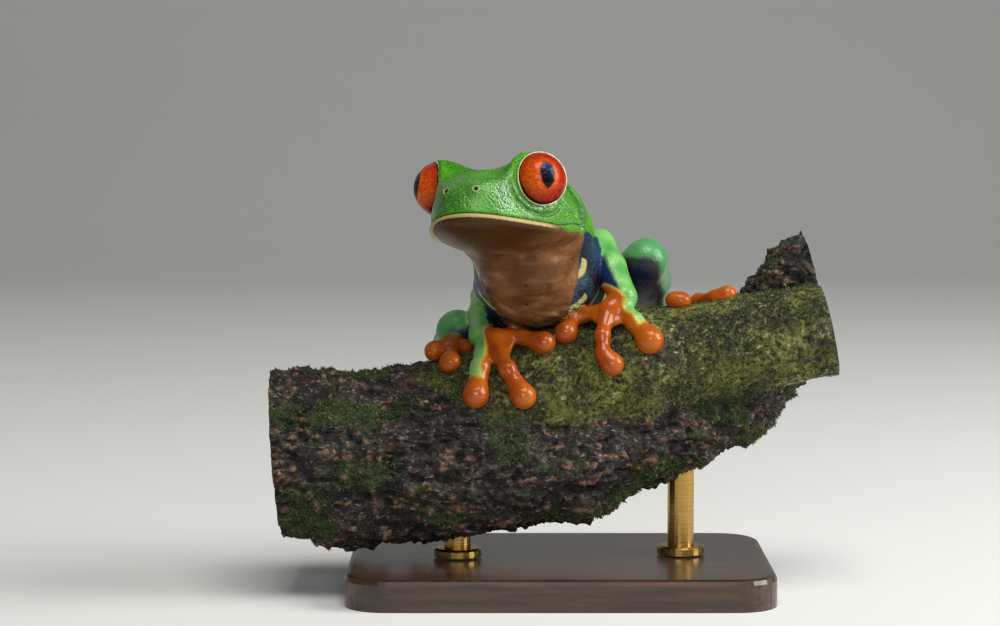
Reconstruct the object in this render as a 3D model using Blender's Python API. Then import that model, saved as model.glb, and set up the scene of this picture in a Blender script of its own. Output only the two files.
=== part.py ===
"""A red-eyed tree frog at life size, gripping a cut length of branch on a display stand.

Lengths are in millimetres and become metres where the meshes are made.  The frog and the
branch are laid out from the point midway between the corners of the frog's jaw, with +X
to the frog's left, +Y behind it and +Z up.  The branch runs along X.
"""
import math

import bmesh
import bpy
from mathutils import Matrix, Vector

MM = 0.001
GAP = 0.3                          # clearance between two pieces that touch
JAW = Vector((-6.5, -9.0, 51.5))   # midway between the jaw's corners, from the stand's underside

# The head's own axes: yaw to the frog's right, snout up, left side up.
HEAD_YAW, HEAD_PITCH, HEAD_ROLL = 25.0, 8.2, 5.6
HEAD_PLACE = Vector((0.4, 0.0, -0.26))
TRUNK_YAW, TRUNK_PITCH, TRUNK_ROLL = 17.0, 23.3, 4.0

# Head, in its own axes.
JAW_HALF_WIDTH = 9.5
SNOUT_REACH = 18.8
SKULL_HEIGHT = 8.3
JAW_DEPTH = 3.3
NAPE_REACH = 6.5
SKULL_SQUARENESS = 3.0             # 2 is an ellipsoid, more is flatter on top
EYE_PLACE = Vector((7.3, -8.7, 5.95))
EYE_RADIUS = 3.78
EYE_OUTWARD, EYE_UPWARD = 45.0, 4.0
LID_RADIUS = 4.27
LID_SINK = 1.0                     # how far the lid's ball lies behind the eye's
CANTHUS_START = Vector((2.1, -16.55, 3.85))      # the ridge from beside the nostril to before the eye
CANTHUS_END = Vector((5.2, -12.6, 5.6))
CANTHUS_RADIUS = 1.1

# Trunk, in its own axes: distance back, height, radius, sideways stretch.
TRUNK_ASIDE = 0.8
TRUNK_STATIONS = (
    (4.5, -3.0, 6.5, 1.03),
    (11.0, -3.3, 7.2, 1.14),
    (18.5, -3.2, 7.0, 1.26),
    (26.0, -3.4, 6.2, 1.26),
    (32.5, -3.6, 4.6, 1.22),
    (36.5, -3.8, 2.8, 1.15),
)
# Broad back over the shoulders, then over the ribs: place and radii.
BACK_MASSES = (
    ((0.4, 4.8, 1.6), (9.7, 7.2, 6.0)),
    ((0.4, 11.0, -0.9), (8.8, 8.0, 4.6)),
)

# Limbs: x, y, z and radius along each, from the jaw point.
ARMS = {
    "left": {
        "upper_arm": ((7.2, 5.4, -5.8, 3.1), (10.2, 9.4, -3.9, 2.6), (12.2, 12.4, -2.7, 2.35)),
        "forearm": ((12.2, 12.4, -2.7, 2.3), (13.6, 8.4, -5.6, 2.35), (15.4, 3.9, -9.4, 1.9)),
    },
    "right": {
        "upper_arm": ((-2.4, 8.0, -7.2, 2.6), (-3.6, 11.6, -8.8, 2.0), (-4.4, 15.0, -10.2, 1.7)),
        "forearm": ((-4.4, 15.0, -10.2, 1.65), (-4.7, 10.5, -12.5, 1.8), (-4.6, 5.2, -15.0, 1.65)),
    },
}
LEGS = {
    "left": {
        "thigh": ((10.6, 26.0, -15.2, 3.9), (15.2, 18.6, -9.6, 3.7), (18.9, 11.4, -4.8, 3.1)),
        "shank": ((18.9, 11.4, -4.8, 3.0), (19.9, 17.8, -8.2, 2.9), (20.8, 32.0, -16.4, 1.8)),
    },
    "right": {
        "thigh": ((4.4, 28.4, -17.4, 3.8), (-2.6, 20.0, -16.8, 3.5), (-8.0, 12.0, -15.0, 3.0)),
        "shank": ((-8.0, 12.0, -15.0, 2.9), (-8.8, 18.2, -17.6, 2.8), (-8.4, 33.0, -23.2, 1.8)),
    },
}

# Hands and feet: each digit runs from the palm to the middle of its pad.
HANDS = {
    "left": {
        "palm": ((15.4, 3.9, -9.4, 1.8), (14.0, 3.0, -11.0, 1.8)),
        "digits": (
            ((12.6, 4.2, -11.4, 0.95), (10.9, 6.1, -11.9, 0.85), (9.5, 7.8, -12.0, 1.15)),
            ((13.0, 3.2, -11.2, 1.2), (9.8, 4.4, -11.9, 1.0), (8.3, 4.2, -12.6, 1.05),
             (7.3, 2.1, -14.25, 1.45)),
            ((13.2, 2.4, -11.0, 1.15), (12.3, -0.5, -14.4, 1.0), (12.4, -1.6, -16.8, 1.05),
             (13.6, -2.1, -18.25, 1.45)),
            ((15.2, 3.2, -10.8, 1.4), (16.8, 0.6, -12.6, 1.25), (18.9, -1.3, -15.0, 1.75)),
        ),
    },
    "right": {
        "palm": ((-4.5, 5.2, -15.0, 1.8), (-3.0, 3.4, -15.6, 1.8)),
        "digits": (
            ((-2.2, 4.4, -15.0, 0.95), (-0.2, 6.2, -14.4, 0.85), (1.4, 7.4, -13.9, 1.05)),
            ((-2.2, 3.6, -14.9, 1.2), (1.2, 3.2, -15.0, 1.0), (4.2, 1.4, -15.7, 1.5)),
            ((-2.6, 2.2, -16.4, 1.3), (-0.9, -1.6, -19.0, 1.15), (1.3, -3.3, -22.6, 1.6)),
            ((-4.2, 3.2, -16.2, 1.4), (-4.7, -1.0, -18.9, 1.35), (-5.3, -3.3, -22.4, 1.65)),
        ),
    },
}
FEET = {
    "left": {
        "palm": ((20.8, 32.0, -16.4, 1.7), (23.4, 23.4, -14.8, 1.6), (24.8, 16.0, -12.9, 1.6)),
        "digits": (
            ((24.2, 15.2, -12.7, 1.0), (22.2, 15.4, -13.2, 0.85), (20.6, 15.6, -13.6, 1.05)),
            ((24.4, 14.8, -12.5, 1.0), (22.8, 13.4, -12.8, 0.9), (21.2, 12.4, -13.0, 1.1)),
            ((24.8, 14.6, -12.4, 1.0), (24.2, 10.8, -10.8, 0.95), (22.7, 6.7, -10.1, 1.05),
             (23.8, 6.4, -10.2, 1.1)),
            ((25.2, 14.8, -12.4, 1.1), (26.4, 9.6, -10.4, 0.95), (28.6, 6.7, -9.8, 1.1),
             (30.2, 6.3, -9.3, 1.15)),
            ((25.4, 15.4, -12.6, 1.0), (28.4, 14.0, -12.6, 0.9), (31.4, 13.4, -12.6, 1.15)),
        ),
    },
    "right": {
        "palm": ((-8.4, 33.0, -23.2, 1.7), (-10.8, 24.0, -22.6, 1.6), (-10.8, 15.8, -20.9, 1.6)),
        "digits": (
            ((-10.0, 15.2, -20.6, 1.0), (-8.2, 13.6, -20.0, 0.85), (-6.6, 12.8, -19.6, 1.0)),
            ((-10.0, 14.4, -20.3, 1.0), (-7.8, 11.0, -18.6, 0.9), (-6.0, 9.4, -17.8, 1.1)),
            ((-10.2, 13.8, -20.0, 1.1), (-8.4, 9.4, -18.2, 0.95), (-6.9, 6.4, -16.9, 1.15)),
            ((-10.2, 13.8, -19.8, 1.1), (-8.4, 8.2, -16.4, 0.95), (-8.7, 5.2, -16.9, 0.95),
             (-8.9, 1.7, -18.5, 1.4)),
            ((-11.0, 14.4, -20.2, 1.0), (-9.2, 9.6, -16.8, 0.95), (-9.6, 7.2, -16.6, 1.0),
             (-11.2, 5.6, -17.2, 1.25)),
        ),
    },
}
WEB_REACH = {"hand": 0.36, "foot": 0.55}      # share of each digit that the web joins
WEB_RADIUS = 0.42
WEB_STEPS = 7

# Branch: a knobbly log that runs up behind, and the mossy stem that lies over it.
LOG_STATIONS = (
    (-36.5, 7.0, -31.8, 12.1), (-23.3, 7.0, -32.6, 11.8), (-13.3, 7.0, -31.8, 12.0),
    (-4.8, 7.0, -31.2, 11.5), (7.8, 7.5, -31.6, 9.6), (20.9, 9.4, -27.1, 8.1),
    (30.5, 11.4, -23.4, 7.4), (36.5, 14.4, -17.0, 6.8), (41.5, 16.0, -9.6, 6.4),
    (50.5, 17.4, -3.4, 6.2),
)
STEM_STATIONS = (
    (-16.2, 6.5, -28.6, 8.0), (-4.8, 6.5, -26.4, 9.2), (6.6, 7.0, -23.2, 8.7),
    (17.9, 7.0, -19.8, 8.1), (31.4, 7.0, -16.6, 6.7), (50.5, 7.0, -13.3, 6.3),
)
BRANCH_ENDS = ((-34.0, -1.0, 4.0), (47.0, 1.0, 12.0))    # place along X, way it faces, slope in degrees
SAW_PIVOT = (7.0, -25.0)           # the Y and Z that each cut turns about

# Stand: a flat base and two short rods.
BASE_SIZE = (60.0, 40.0, 4.5)
BASE_CORNER = 6.0
BASE_CORNER_STEPS = 8
BASE_EDGE = 0.8
ROD_RADIUS = 1.9
FERRULE_RADIUS, FERRULE_HEIGHT = 3.4, 1.2
FERRULE_EDGE = 0.3
ROD_SIDES = 24
ROD_TOP = -28.0                    # below the jaw, well inside the branch
ROD_PLACES = ((-14.5, -1.6), (17.5, 0.6))

BODY_VOXEL, DIGIT_VOXEL, BRANCH_VOXEL = 0.55, 0.36, 0.8
SWEEP_SPACING = 0.22               # between the balls of a sweep, as a share of their radius
SHARP_ANGLE = 50.0
TRIANGLES = {
    "head": 1020, "trunk": 720, "upper_arm": 120, "forearm": 130, "hand": 580,
    "thigh": 150, "shank": 150, "foot": 620, "perch": 820,
}

# Skin, eye and stand colours, with roughness and metallic value.
FINISHES = {
    "head": ("#5DB52B", 0.35, 0.0), "trunk": ("#4FA828", 0.4, 0.0),
    "upper_arm": ("#3F62A0", 0.4, 0.0), "forearm": ("#6FBE3C", 0.4, 0.0),
    "hand": ("#E86A12", 0.25, 0.0), "foot": ("#E86A12", 0.25, 0.0),
    "thigh": ("#3B3F7A", 0.4, 0.0), "shank": ("#4FA86A", 0.4, 0.0),
    "eye": ("#D8320C", 0.08, 0.0), "perch": ("#5A4A33", 0.9, 0.0),
    "stand_base": ("#2B1D14", 0.35, 0.0), "stand_rod": ("#B08D4C", 0.3, 1.0),
}


def turn(yaw, pitch, roll):
    """The rotation of a frame that faces -Y: yaw to its right, front up, left side up."""
    about_z = Matrix.Rotation(math.radians(-yaw), 4, "Z")
    about_x = Matrix.Rotation(math.radians(-pitch), 4, "X")
    about_y = Matrix.Rotation(math.radians(-roll), 4, "Y")
    return about_z @ about_x @ about_y


BODY = Matrix.Scale(MM, 4) @ Matrix.Translation(JAW)
HEAD = BODY @ Matrix.Translation(HEAD_PLACE) @ turn(HEAD_YAW, HEAD_PITCH, HEAD_ROLL)
TRUNK = BODY @ turn(TRUNK_YAW, TRUNK_PITCH, TRUNK_ROLL)


def srgb_to_linear(value):
    return value / 12.92 if value <= 0.04045 else ((value + 0.055) / 1.055) ** 2.4


def finish(key):
    """The Principled material of one kind of piece."""
    hex_colour, roughness, metallic = FINISHES[key]
    found = bpy.data.materials.get(key)
    if found:
        return found
    made = bpy.data.materials.new(key)
    made.use_nodes = True
    shader = made.node_tree.nodes["Principled BSDF"]
    channels = [srgb_to_linear(int(hex_colour[i:i + 2], 16) / 255) for i in (1, 3, 5)]
    shader.inputs["Base Color"].default_value = (*channels, 1.0)
    shader.inputs["Roughness"].default_value = roughness
    shader.inputs["Metallic"].default_value = metallic
    return made


def new_object(name, mesh, key):
    made = bpy.data.objects.new(name, mesh)
    bpy.context.collection.objects.link(made)
    mesh.materials.clear()
    mesh.materials.append(finish(key))
    mesh.shade_smooth()
    mesh.set_sharp_from_angle(angle=math.radians(SHARP_ANGLE))
    return made


def mesh_from(bm, name):
    mesh = bpy.data.meshes.new(name)
    bm.to_mesh(mesh)
    bm.free()
    return mesh


def ball(bm, frame, centre, radii, detail=2):
    """An ellipsoid with its radii along the frame's axes."""
    place = frame @ Matrix.Translation(centre) @ Matrix.Diagonal((*radii, 1.0))
    bmesh.ops.create_icosphere(bm, subdivisions=detail, radius=1.0, matrix=place)


def sweep(bm, frame, stations, detail=2):
    """Balls set close together along a path of (x, y, z, radius) or with a sideways stretch."""
    for here, ahead in zip(stations, stations[1:]):
        length = (Vector(ahead[:3]) - Vector(here[:3])).length
        steps = max(2, math.ceil(length / (SWEEP_SPACING * min(here[3], ahead[3]))))
        for step in range(steps + 1):
            x, y, z, radius, stretch = (a + (b - a) * step / steps for a, b in zip(here, ahead))
            ball(bm, frame, (x, y, z), (radius * stretch, radius, radius), detail)


def stretched(stations):
    """Stations that carry no sideways stretch get one of 1."""
    return [(*station, 1.0) for station in stations]


def along(digit, share):
    """The place at a share of a digit's length, from its root."""
    lengths = [(Vector(b[:3]) - Vector(a[:3])).length for a, b in zip(digit, digit[1:])]
    left = share * sum(lengths)
    for here, ahead, length in zip(digit, digit[1:], lengths):
        if left <= length:
            return Vector(here[:3]).lerp(Vector(ahead[:3]), left / length)
        left -= length
    return Vector(digit[-1][:3])


def web(bm, digit, neighbour, reach):
    """A thin web between two digits, shorter towards its middle."""
    for step in range(WEB_STEPS):
        share = reach * (step + 0.5) / WEB_STEPS
        ends = [(*along(finger, share), WEB_RADIUS, 1.0) for finger in (digit, neighbour)]
        middle = (*(Vector(ends[0][:3]) + Vector(ends[1][:3])) * 0.5, WEB_RADIUS, 1.0)
        sweep(bm, BODY, (ends[0], middle, ends[1]), 1)


def evaluated(source):
    graph = bpy.context.evaluated_depsgraph_get()
    return bpy.data.meshes.new_from_object(source.evaluated_get(graph))


def one_skin(bm, name, voxel, smoothing, triangles):
    """The outer skin of overlapping masses, rounded where they meet, as a coarse closed mesh."""
    shaper = bpy.data.objects.new(name + "_shaper", mesh_from(bm, name))
    bpy.context.collection.objects.link(shaper)
    remesh = shaper.modifiers.new("Remesh", "REMESH")
    remesh.mode = "VOXEL"
    remesh.voxel_size = voxel * MM
    smooth = shaper.modifiers.new("Smooth", "SMOOTH")
    smooth.factor = 0.5
    smooth.iterations = smoothing
    fine = 2 * len(evaluated(shaper).polygons)
    thin = shaper.modifiers.new("Decimate", "DECIMATE")
    thin.ratio = min(1.0, triangles / fine)
    mesh = evaluated(shaper)
    bpy.data.objects.remove(shaper)
    return mesh


def cutter(source):
    """A copy of a piece, grown by the clearance, that cuts what lies against it."""
    made = bpy.data.objects.new(source.name + "_cutter", source.data.copy())
    bpy.context.collection.objects.link(made)
    grow = made.modifiers.new("Displace", "DISPLACE")
    grow.mid_level = 0.0
    grow.strength = GAP * MM
    made.hide_render = True
    made.display_type = "WIRE"
    return made


def cut(target, *tools):
    for tool in tools:
        boolean = target.modifiers.new("Boolean", "BOOLEAN")
        boolean.operation = "DIFFERENCE"
        boolean.solver = "EXACT"
        boolean.object = tool


def skull(bm):
    """A rounded wedge: elliptical seen from above, flatter on top, shallow below the mouth."""
    first = len(bm.verts)
    bmesh.ops.create_uvsphere(bm, u_segments=48, v_segments=32, radius=1.0)
    bm.verts.ensure_lookup_table()
    for vert in bm.verts[first:]:
        x, y, z = vert.co
        flat = math.hypot(x, y)
        power = SKULL_SQUARENESS if z > 0 else 2.0
        grow = (flat ** power + abs(z) ** power) ** (-1.0 / power)
        length = SNOUT_REACH if y < 0 else NAPE_REACH
        height = SKULL_HEIGHT if z > 0 else JAW_DEPTH
        local = Vector((x * JAW_HALF_WIDTH, y * length, z * height)) * grow
        vert.co = HEAD @ local


def eye_axis(side):
    outward, upward = math.radians(EYE_OUTWARD), math.radians(EYE_UPWARD)
    forward = -math.cos(outward) * math.cos(upward)
    return Vector((side * math.sin(outward) * math.cos(upward), forward, math.sin(upward)))


def mirrored(point, side):
    return Vector((side * point.x, point.y, point.z))


def make_head():
    bm = bmesh.new()
    skull(bm)
    for side in (1, -1):
        lid = mirrored(EYE_PLACE, side) - LID_SINK * eye_axis(side)
        ball(bm, HEAD, lid, (LID_RADIUS,) * 3, 4)
        ridge = (mirrored(CANTHUS_END, side), mirrored(CANTHUS_START, side))
        sweep(bm, HEAD, [(*point, CANTHUS_RADIUS, 1.0) for point in ridge])
    return new_object("head", one_skin(bm, "head", BODY_VOXEL, 3, TRIANGLES["head"]), "head")


def make_eye(side, name):
    bm = bmesh.new()
    place = HEAD @ Matrix.Translation(mirrored(EYE_PLACE, side))
    aim = eye_axis(side).to_track_quat("Z", "Y").to_matrix().to_4x4()
    scale = Matrix.Scale(EYE_RADIUS, 4)
    bmesh.ops.create_uvsphere(bm, u_segments=20, v_segments=12, radius=1.0, matrix=place @ aim @ scale)
    return new_object(name, mesh_from(bm, name), "eye")


def make_trunk():
    bm = bmesh.new()
    sweep(bm, TRUNK, [(TRUNK_ASIDE, *station) for station in TRUNK_STATIONS], 3)
    for place, radii in BACK_MASSES:
        ball(bm, TRUNK, place, radii, 4)
    return new_object("trunk", one_skin(bm, "trunk", BODY_VOXEL, 6, TRIANGLES["trunk"]), "trunk")


def make_segment(kind, side, stations):
    bm = bmesh.new()
    sweep(bm, BODY, stretched(stations), 3)
    name = kind + "_" + side
    return new_object(name, one_skin(bm, name, BODY_VOXEL, 2, TRIANGLES[kind]), kind)


def make_hand(kind, side, plan):
    bm = bmesh.new()
    sweep(bm, BODY, stretched(plan["palm"]))
    for digit in plan["digits"]:
        sweep(bm, BODY, stretched(digit))
    for digit, neighbour in zip(plan["digits"], plan["digits"][1:]):
        web(bm, digit, neighbour, WEB_REACH[kind])
    name = kind + "_" + side
    return new_object(name, one_skin(bm, name, DIGIT_VOXEL, 2, TRIANGLES[kind]), kind)


def saw(mesh, place, facing, slope):
    """Cut the branch off square and close the cut with a flat face."""
    bm = bmesh.new()
    bm.from_mesh(mesh)
    normal = Vector((math.cos(math.radians(slope)), 0.0, math.sin(math.radians(slope)))) * facing
    point = BODY @ Vector((place, *SAW_PIVOT))
    geometry = bm.verts[:] + bm.edges[:] + bm.faces[:]
    bmesh.ops.bisect_plane(bm, geom=geometry, plane_co=point, plane_no=normal, clear_outer=True)
    rim = [edge for edge in bm.edges if edge.is_boundary]
    bmesh.ops.holes_fill(bm, edges=rim, sides=0)
    bm.to_mesh(mesh)
    bm.free()


def make_perch():
    bm = bmesh.new()
    sweep(bm, BODY, stretched(LOG_STATIONS), 3)
    sweep(bm, BODY, stretched(STEM_STATIONS), 3)
    mesh = one_skin(bm, "perch", BRANCH_VOXEL, 2, TRIANGLES["perch"])
    for place, facing, slope in BRANCH_ENDS:
        saw(mesh, place, facing, slope)
    return new_object("perch", mesh, "perch")


def make_base():
    """A plate with round corners and an eased top edge."""
    width, depth, height = (size * MM for size in BASE_SIZE)
    corner = BASE_CORNER * MM
    bm = bmesh.new()
    outline = []
    for quarter in range(4):
        sign_x = (1, -1, -1, 1)[quarter]
        sign_y = (1, 1, -1, -1)[quarter]
        middle = Vector((sign_x * (width / 2 - corner), sign_y * (depth / 2 - corner), 0.0))
        for step in range(BASE_CORNER_STEPS + 1):
            angle = math.pi / 2 * (quarter + step / BASE_CORNER_STEPS)
            outline.append(bm.verts.new(middle + corner * Vector((math.cos(angle), math.sin(angle), 0.0))))
    bottom = bm.faces.new(outline)
    raised = bmesh.ops.extrude_face_region(bm, geom=[bottom])
    lifted = [item for item in raised["geom"] if isinstance(item, bmesh.types.BMVert)]
    bmesh.ops.translate(bm, verts=lifted, vec=(0.0, 0.0, height))
    bmesh.ops.recalc_face_normals(bm, faces=bm.faces[:])
    top_edges = [edge for edge in bm.edges if all(vert.co.z > height / 2 for vert in edge.verts)]
    bmesh.ops.bevel(bm, geom=top_edges, offset=BASE_EDGE * MM, segments=2, profile=0.5, affect="EDGES")
    return new_object("stand_base", mesh_from(bm, "stand_base"), "stand_base")


def make_rod(name, x, y):
    """A turned rod with a ferrule at its foot; the branch cuts its top to fit."""
    foot = (BASE_SIZE[2] + GAP) * MM
    top = (JAW.z + ROD_TOP) * MM
    profile = ((FERRULE_RADIUS, 0.0), (FERRULE_RADIUS, FERRULE_HEIGHT - FERRULE_EDGE),
               (FERRULE_RADIUS - FERRULE_EDGE, FERRULE_HEIGHT), (ROD_RADIUS, FERRULE_HEIGHT))
    bm = bmesh.new()
    ring = [bm.verts.new((radius * MM, 0.0, foot + rise * MM)) for radius, rise in profile]
    ring.append(bm.verts.new((ROD_RADIUS * MM, 0.0, top)))
    edges = [bm.edges.new(pair) for pair in zip(ring, ring[1:])]
    bmesh.ops.spin(bm, geom=ring + edges, axis=(0.0, 0.0, 1.0), angle=2 * math.pi, steps=ROD_SIDES)
    bmesh.ops.remove_doubles(bm, verts=bm.verts[:], dist=1e-6)
    bmesh.ops.holes_fill(bm, edges=[edge for edge in bm.edges if edge.is_boundary], sides=0)
    bmesh.ops.recalc_face_normals(bm, faces=bm.faces[:])
    bmesh.ops.translate(bm, verts=bm.verts[:], vec=(x * MM, y * MM, 0.0))
    return new_object(name, mesh_from(bm, name), "stand_rod")


def main():
    for leftover in list(bpy.data.objects):
        bpy.data.objects.remove(leftover)

    perch = make_perch()
    perch_cutter = cutter(perch)
    make_base()
    for number, (x, y) in enumerate(ROD_PLACES, 1):
        cut(make_rod("stand_rod_" + str(number), x, y), perch_cutter)

    trunk = make_trunk()
    head = make_head()
    trunk_cutter = cutter(trunk)
    cut(trunk, perch_cutter)
    head_cutter = cutter(head)
    cut(head, trunk_cutter)
    for side, name in ((1, "eye_left"), (-1, "eye_right")):
        cut(head, cutter(make_eye(side, name)))

    for side in ("left", "right"):
        limbs = [make_segment(kind, side, ARMS[side][kind]) for kind in ("upper_arm", "forearm")]
        limbs.append(make_hand("hand", side, HANDS[side]))
        limbs += [make_segment(kind, side, LEGS[side][kind]) for kind in ("thigh", "shank")]
        limbs.append(make_hand("foot", side, FEET[side]))
        arm_cutter = cutter(limbs[0])
        cut(limbs[0], head_cutter)
        cut(trunk, arm_cutter)
        cutters = [arm_cutter, trunk_cutter, perch_cutter, head_cutter]
        for limb in limbs[1:]:
            cut(limb, *cutters)
            cutters.append(cutter(limb))


main()
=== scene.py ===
"""A red-eyed tree frog gripping a cut length of mossy branch, as a life-size museum model.

The frog's flesh is one skin drawn around the same masses as the part's solids.  Lengths are
in millimetres from the point midway between the corners of the frog's jaw, with +X to the
frog's left, +Y behind it and +Z up, and become metres where a mesh is made.
"""
import contextlib
import functools
import itertools
import math

import bmesh
import bpy
import numpy as np
from mathutils import Matrix, Vector


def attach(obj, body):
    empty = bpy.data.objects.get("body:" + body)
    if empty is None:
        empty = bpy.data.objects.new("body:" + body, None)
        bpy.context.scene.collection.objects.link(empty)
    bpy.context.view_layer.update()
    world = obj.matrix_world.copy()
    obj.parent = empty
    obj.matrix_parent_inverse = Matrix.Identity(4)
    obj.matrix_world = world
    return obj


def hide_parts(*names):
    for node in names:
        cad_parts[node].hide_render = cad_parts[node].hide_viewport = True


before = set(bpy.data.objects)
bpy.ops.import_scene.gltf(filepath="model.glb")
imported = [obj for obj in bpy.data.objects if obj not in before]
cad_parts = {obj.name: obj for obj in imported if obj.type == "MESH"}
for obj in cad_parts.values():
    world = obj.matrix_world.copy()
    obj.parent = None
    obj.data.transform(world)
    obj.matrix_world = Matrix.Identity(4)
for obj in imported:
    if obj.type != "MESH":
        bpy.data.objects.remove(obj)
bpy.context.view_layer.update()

MM = 0.001
JAW = np.array((-6.5, -9.0, 51.5))      # midway between the jaw's corners, from the stand's underside

HEAD_TURN = (25.0, 8.2, 5.6)            # yaw to the frog's right, snout up, left side up
HEAD_PLACE = np.array((0.4, 0.0, -0.26))
TRUNK_TURN = (17.0, 23.3, 4.0)

# Head, in its own axes.
JAW_HALF_WIDTH = 9.5
SNOUT_REACH = 18.8
SKULL_HEIGHT = 8.3
JAW_DEPTH = 3.3
NAPE_REACH = 6.5
SKULL_SQUARENESS = 3.0
MOUTH_ARCH = 1.08                       # how far the mouth line rises at the tip of the snout
CORNER_LIFT = 0.55                      # and at its corners
EYE_PLACE = (7.3, -8.7, 5.95)
EYE_RADIUS = 3.78
EYE_OUTWARD, EYE_UPWARD = 45.0, 4.0
LID_RADIUS = 3.98
LID_SINK = 0.2
RIM_HEIGHT, RIM_RAISE = 1.14, 0.42      # of the eyelid's rim along the eye's axis, and more at its front
NOSTRIL_PLACE = (2.2, -17.78, 4.3)
CANTHUS_START = (2.1, -16.55, 3.85)
CANTHUS_END = (5.2, -12.6, 5.6)
CANTHUS_RADIUS = 1.1

# Trunk, in its own axes: distance back, height, radius, sideways stretch.
TRUNK_ASIDE = 0.8
TRUNK_STATIONS = (
    (4.5, -3.0, 6.5, 1.03), (11.0, -3.3, 7.2, 1.14), (18.5, -3.2, 7.0, 1.26),
    (26.0, -3.4, 6.2, 1.26), (32.5, -3.6, 4.6, 1.22), (36.5, -3.8, 2.8, 1.15),
)
BACK_MASSES = (
    ((0.4, 4.8, 1.6), (9.7, 7.2, 6.0)),
    ((0.4, 11.0, -0.9), (8.8, 8.0, 4.6)),
)

SIDES = ("left", "right")
LIMBS = (("upper_arm", "forearm", "hand"), ("thigh", "shank", "foot"))
ROOT_BLEND, LIMB_BLEND = 1.8, 0.65
# Limbs: x, y, z and radius along each.
ARMS = {
    "left": {
        "upper_arm": ((7.2, 5.4, -5.8, 3.1), (10.2, 9.4, -3.9, 2.6), (12.2, 12.4, -2.7, 2.35)),
        "forearm": ((12.2, 12.4, -2.7, 2.3), (13.6, 8.4, -5.6, 2.35), (15.4, 3.9, -9.4, 1.9)),
    },
    "right": {
        "upper_arm": ((-2.4, 8.0, -7.2, 2.6), (-3.6, 11.6, -8.8, 2.0), (-4.4, 15.0, -10.2, 1.7)),
        "forearm": ((-4.4, 15.0, -10.2, 1.65), (-4.7, 10.5, -12.5, 1.8), (-4.6, 5.2, -15.0, 1.65)),
    },
}
LEGS = {
    "left": {
        "thigh": ((10.6, 26.0, -15.2, 3.9), (15.2, 18.6, -9.6, 3.7), (18.9, 11.4, -4.8, 3.1)),
        "shank": ((18.9, 11.4, -4.8, 3.0), (19.9, 17.8, -8.2, 2.9), (20.8, 32.0, -16.4, 1.8)),
    },
    "right": {
        "thigh": ((4.4, 28.4, -17.4, 3.8), (-2.6, 20.0, -16.8, 3.5), (-8.0, 12.0, -15.0, 3.0)),
        "shank": ((-8.0, 12.0, -15.0, 2.9), (-8.8, 18.2, -17.6, 2.8), (-8.4, 33.0, -23.2, 1.8)),
    },
}
# Hands and feet: each digit runs from the palm to the middle of its pad.
HANDS = {
    "left": {
        "palm": ((15.4, 3.9, -9.4, 1.8), (14.0, 3.0, -11.0, 1.8)),
        "digits": (
            ((12.6, 4.2, -11.4, 0.95), (10.9, 6.1, -11.9, 0.85), (9.5, 7.8, -12.0, 1.15)),
            ((13.0, 3.2, -11.2, 1.2), (9.8, 4.4, -11.9, 1.0), (8.3, 4.2, -12.6, 1.05),
             (7.3, 2.1, -14.25, 1.45)),
            ((13.2, 2.4, -11.0, 1.15), (12.3, -0.5, -14.4, 1.0), (12.4, -1.6, -16.8, 1.05),
             (13.6, -2.1, -18.25, 1.45)),
            ((15.2, 3.2, -10.8, 1.4), (16.8, 0.6, -12.6, 1.25), (18.9, -1.3, -15.0, 1.75)),
        ),
    },
    "right": {
        "palm": ((-4.5, 5.2, -15.0, 1.8), (-3.0, 3.4, -15.6, 1.8)),
        "digits": (
            ((-2.2, 4.4, -15.0, 0.95), (-0.2, 6.2, -14.4, 0.85), (1.4, 7.4, -13.9, 1.05)),
            ((-2.2, 3.6, -14.9, 1.2), (1.2, 3.2, -15.0, 1.0), (4.2, 1.4, -15.7, 1.5)),
            ((-2.6, 2.2, -16.4, 1.3), (-0.9, -1.6, -19.0, 1.15), (1.3, -3.3, -22.6, 1.6)),
            ((-4.2, 3.2, -16.2, 1.4), (-4.7, -1.0, -18.9, 1.35), (-5.3, -3.3, -22.4, 1.65)),
        ),
    },
}
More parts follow.
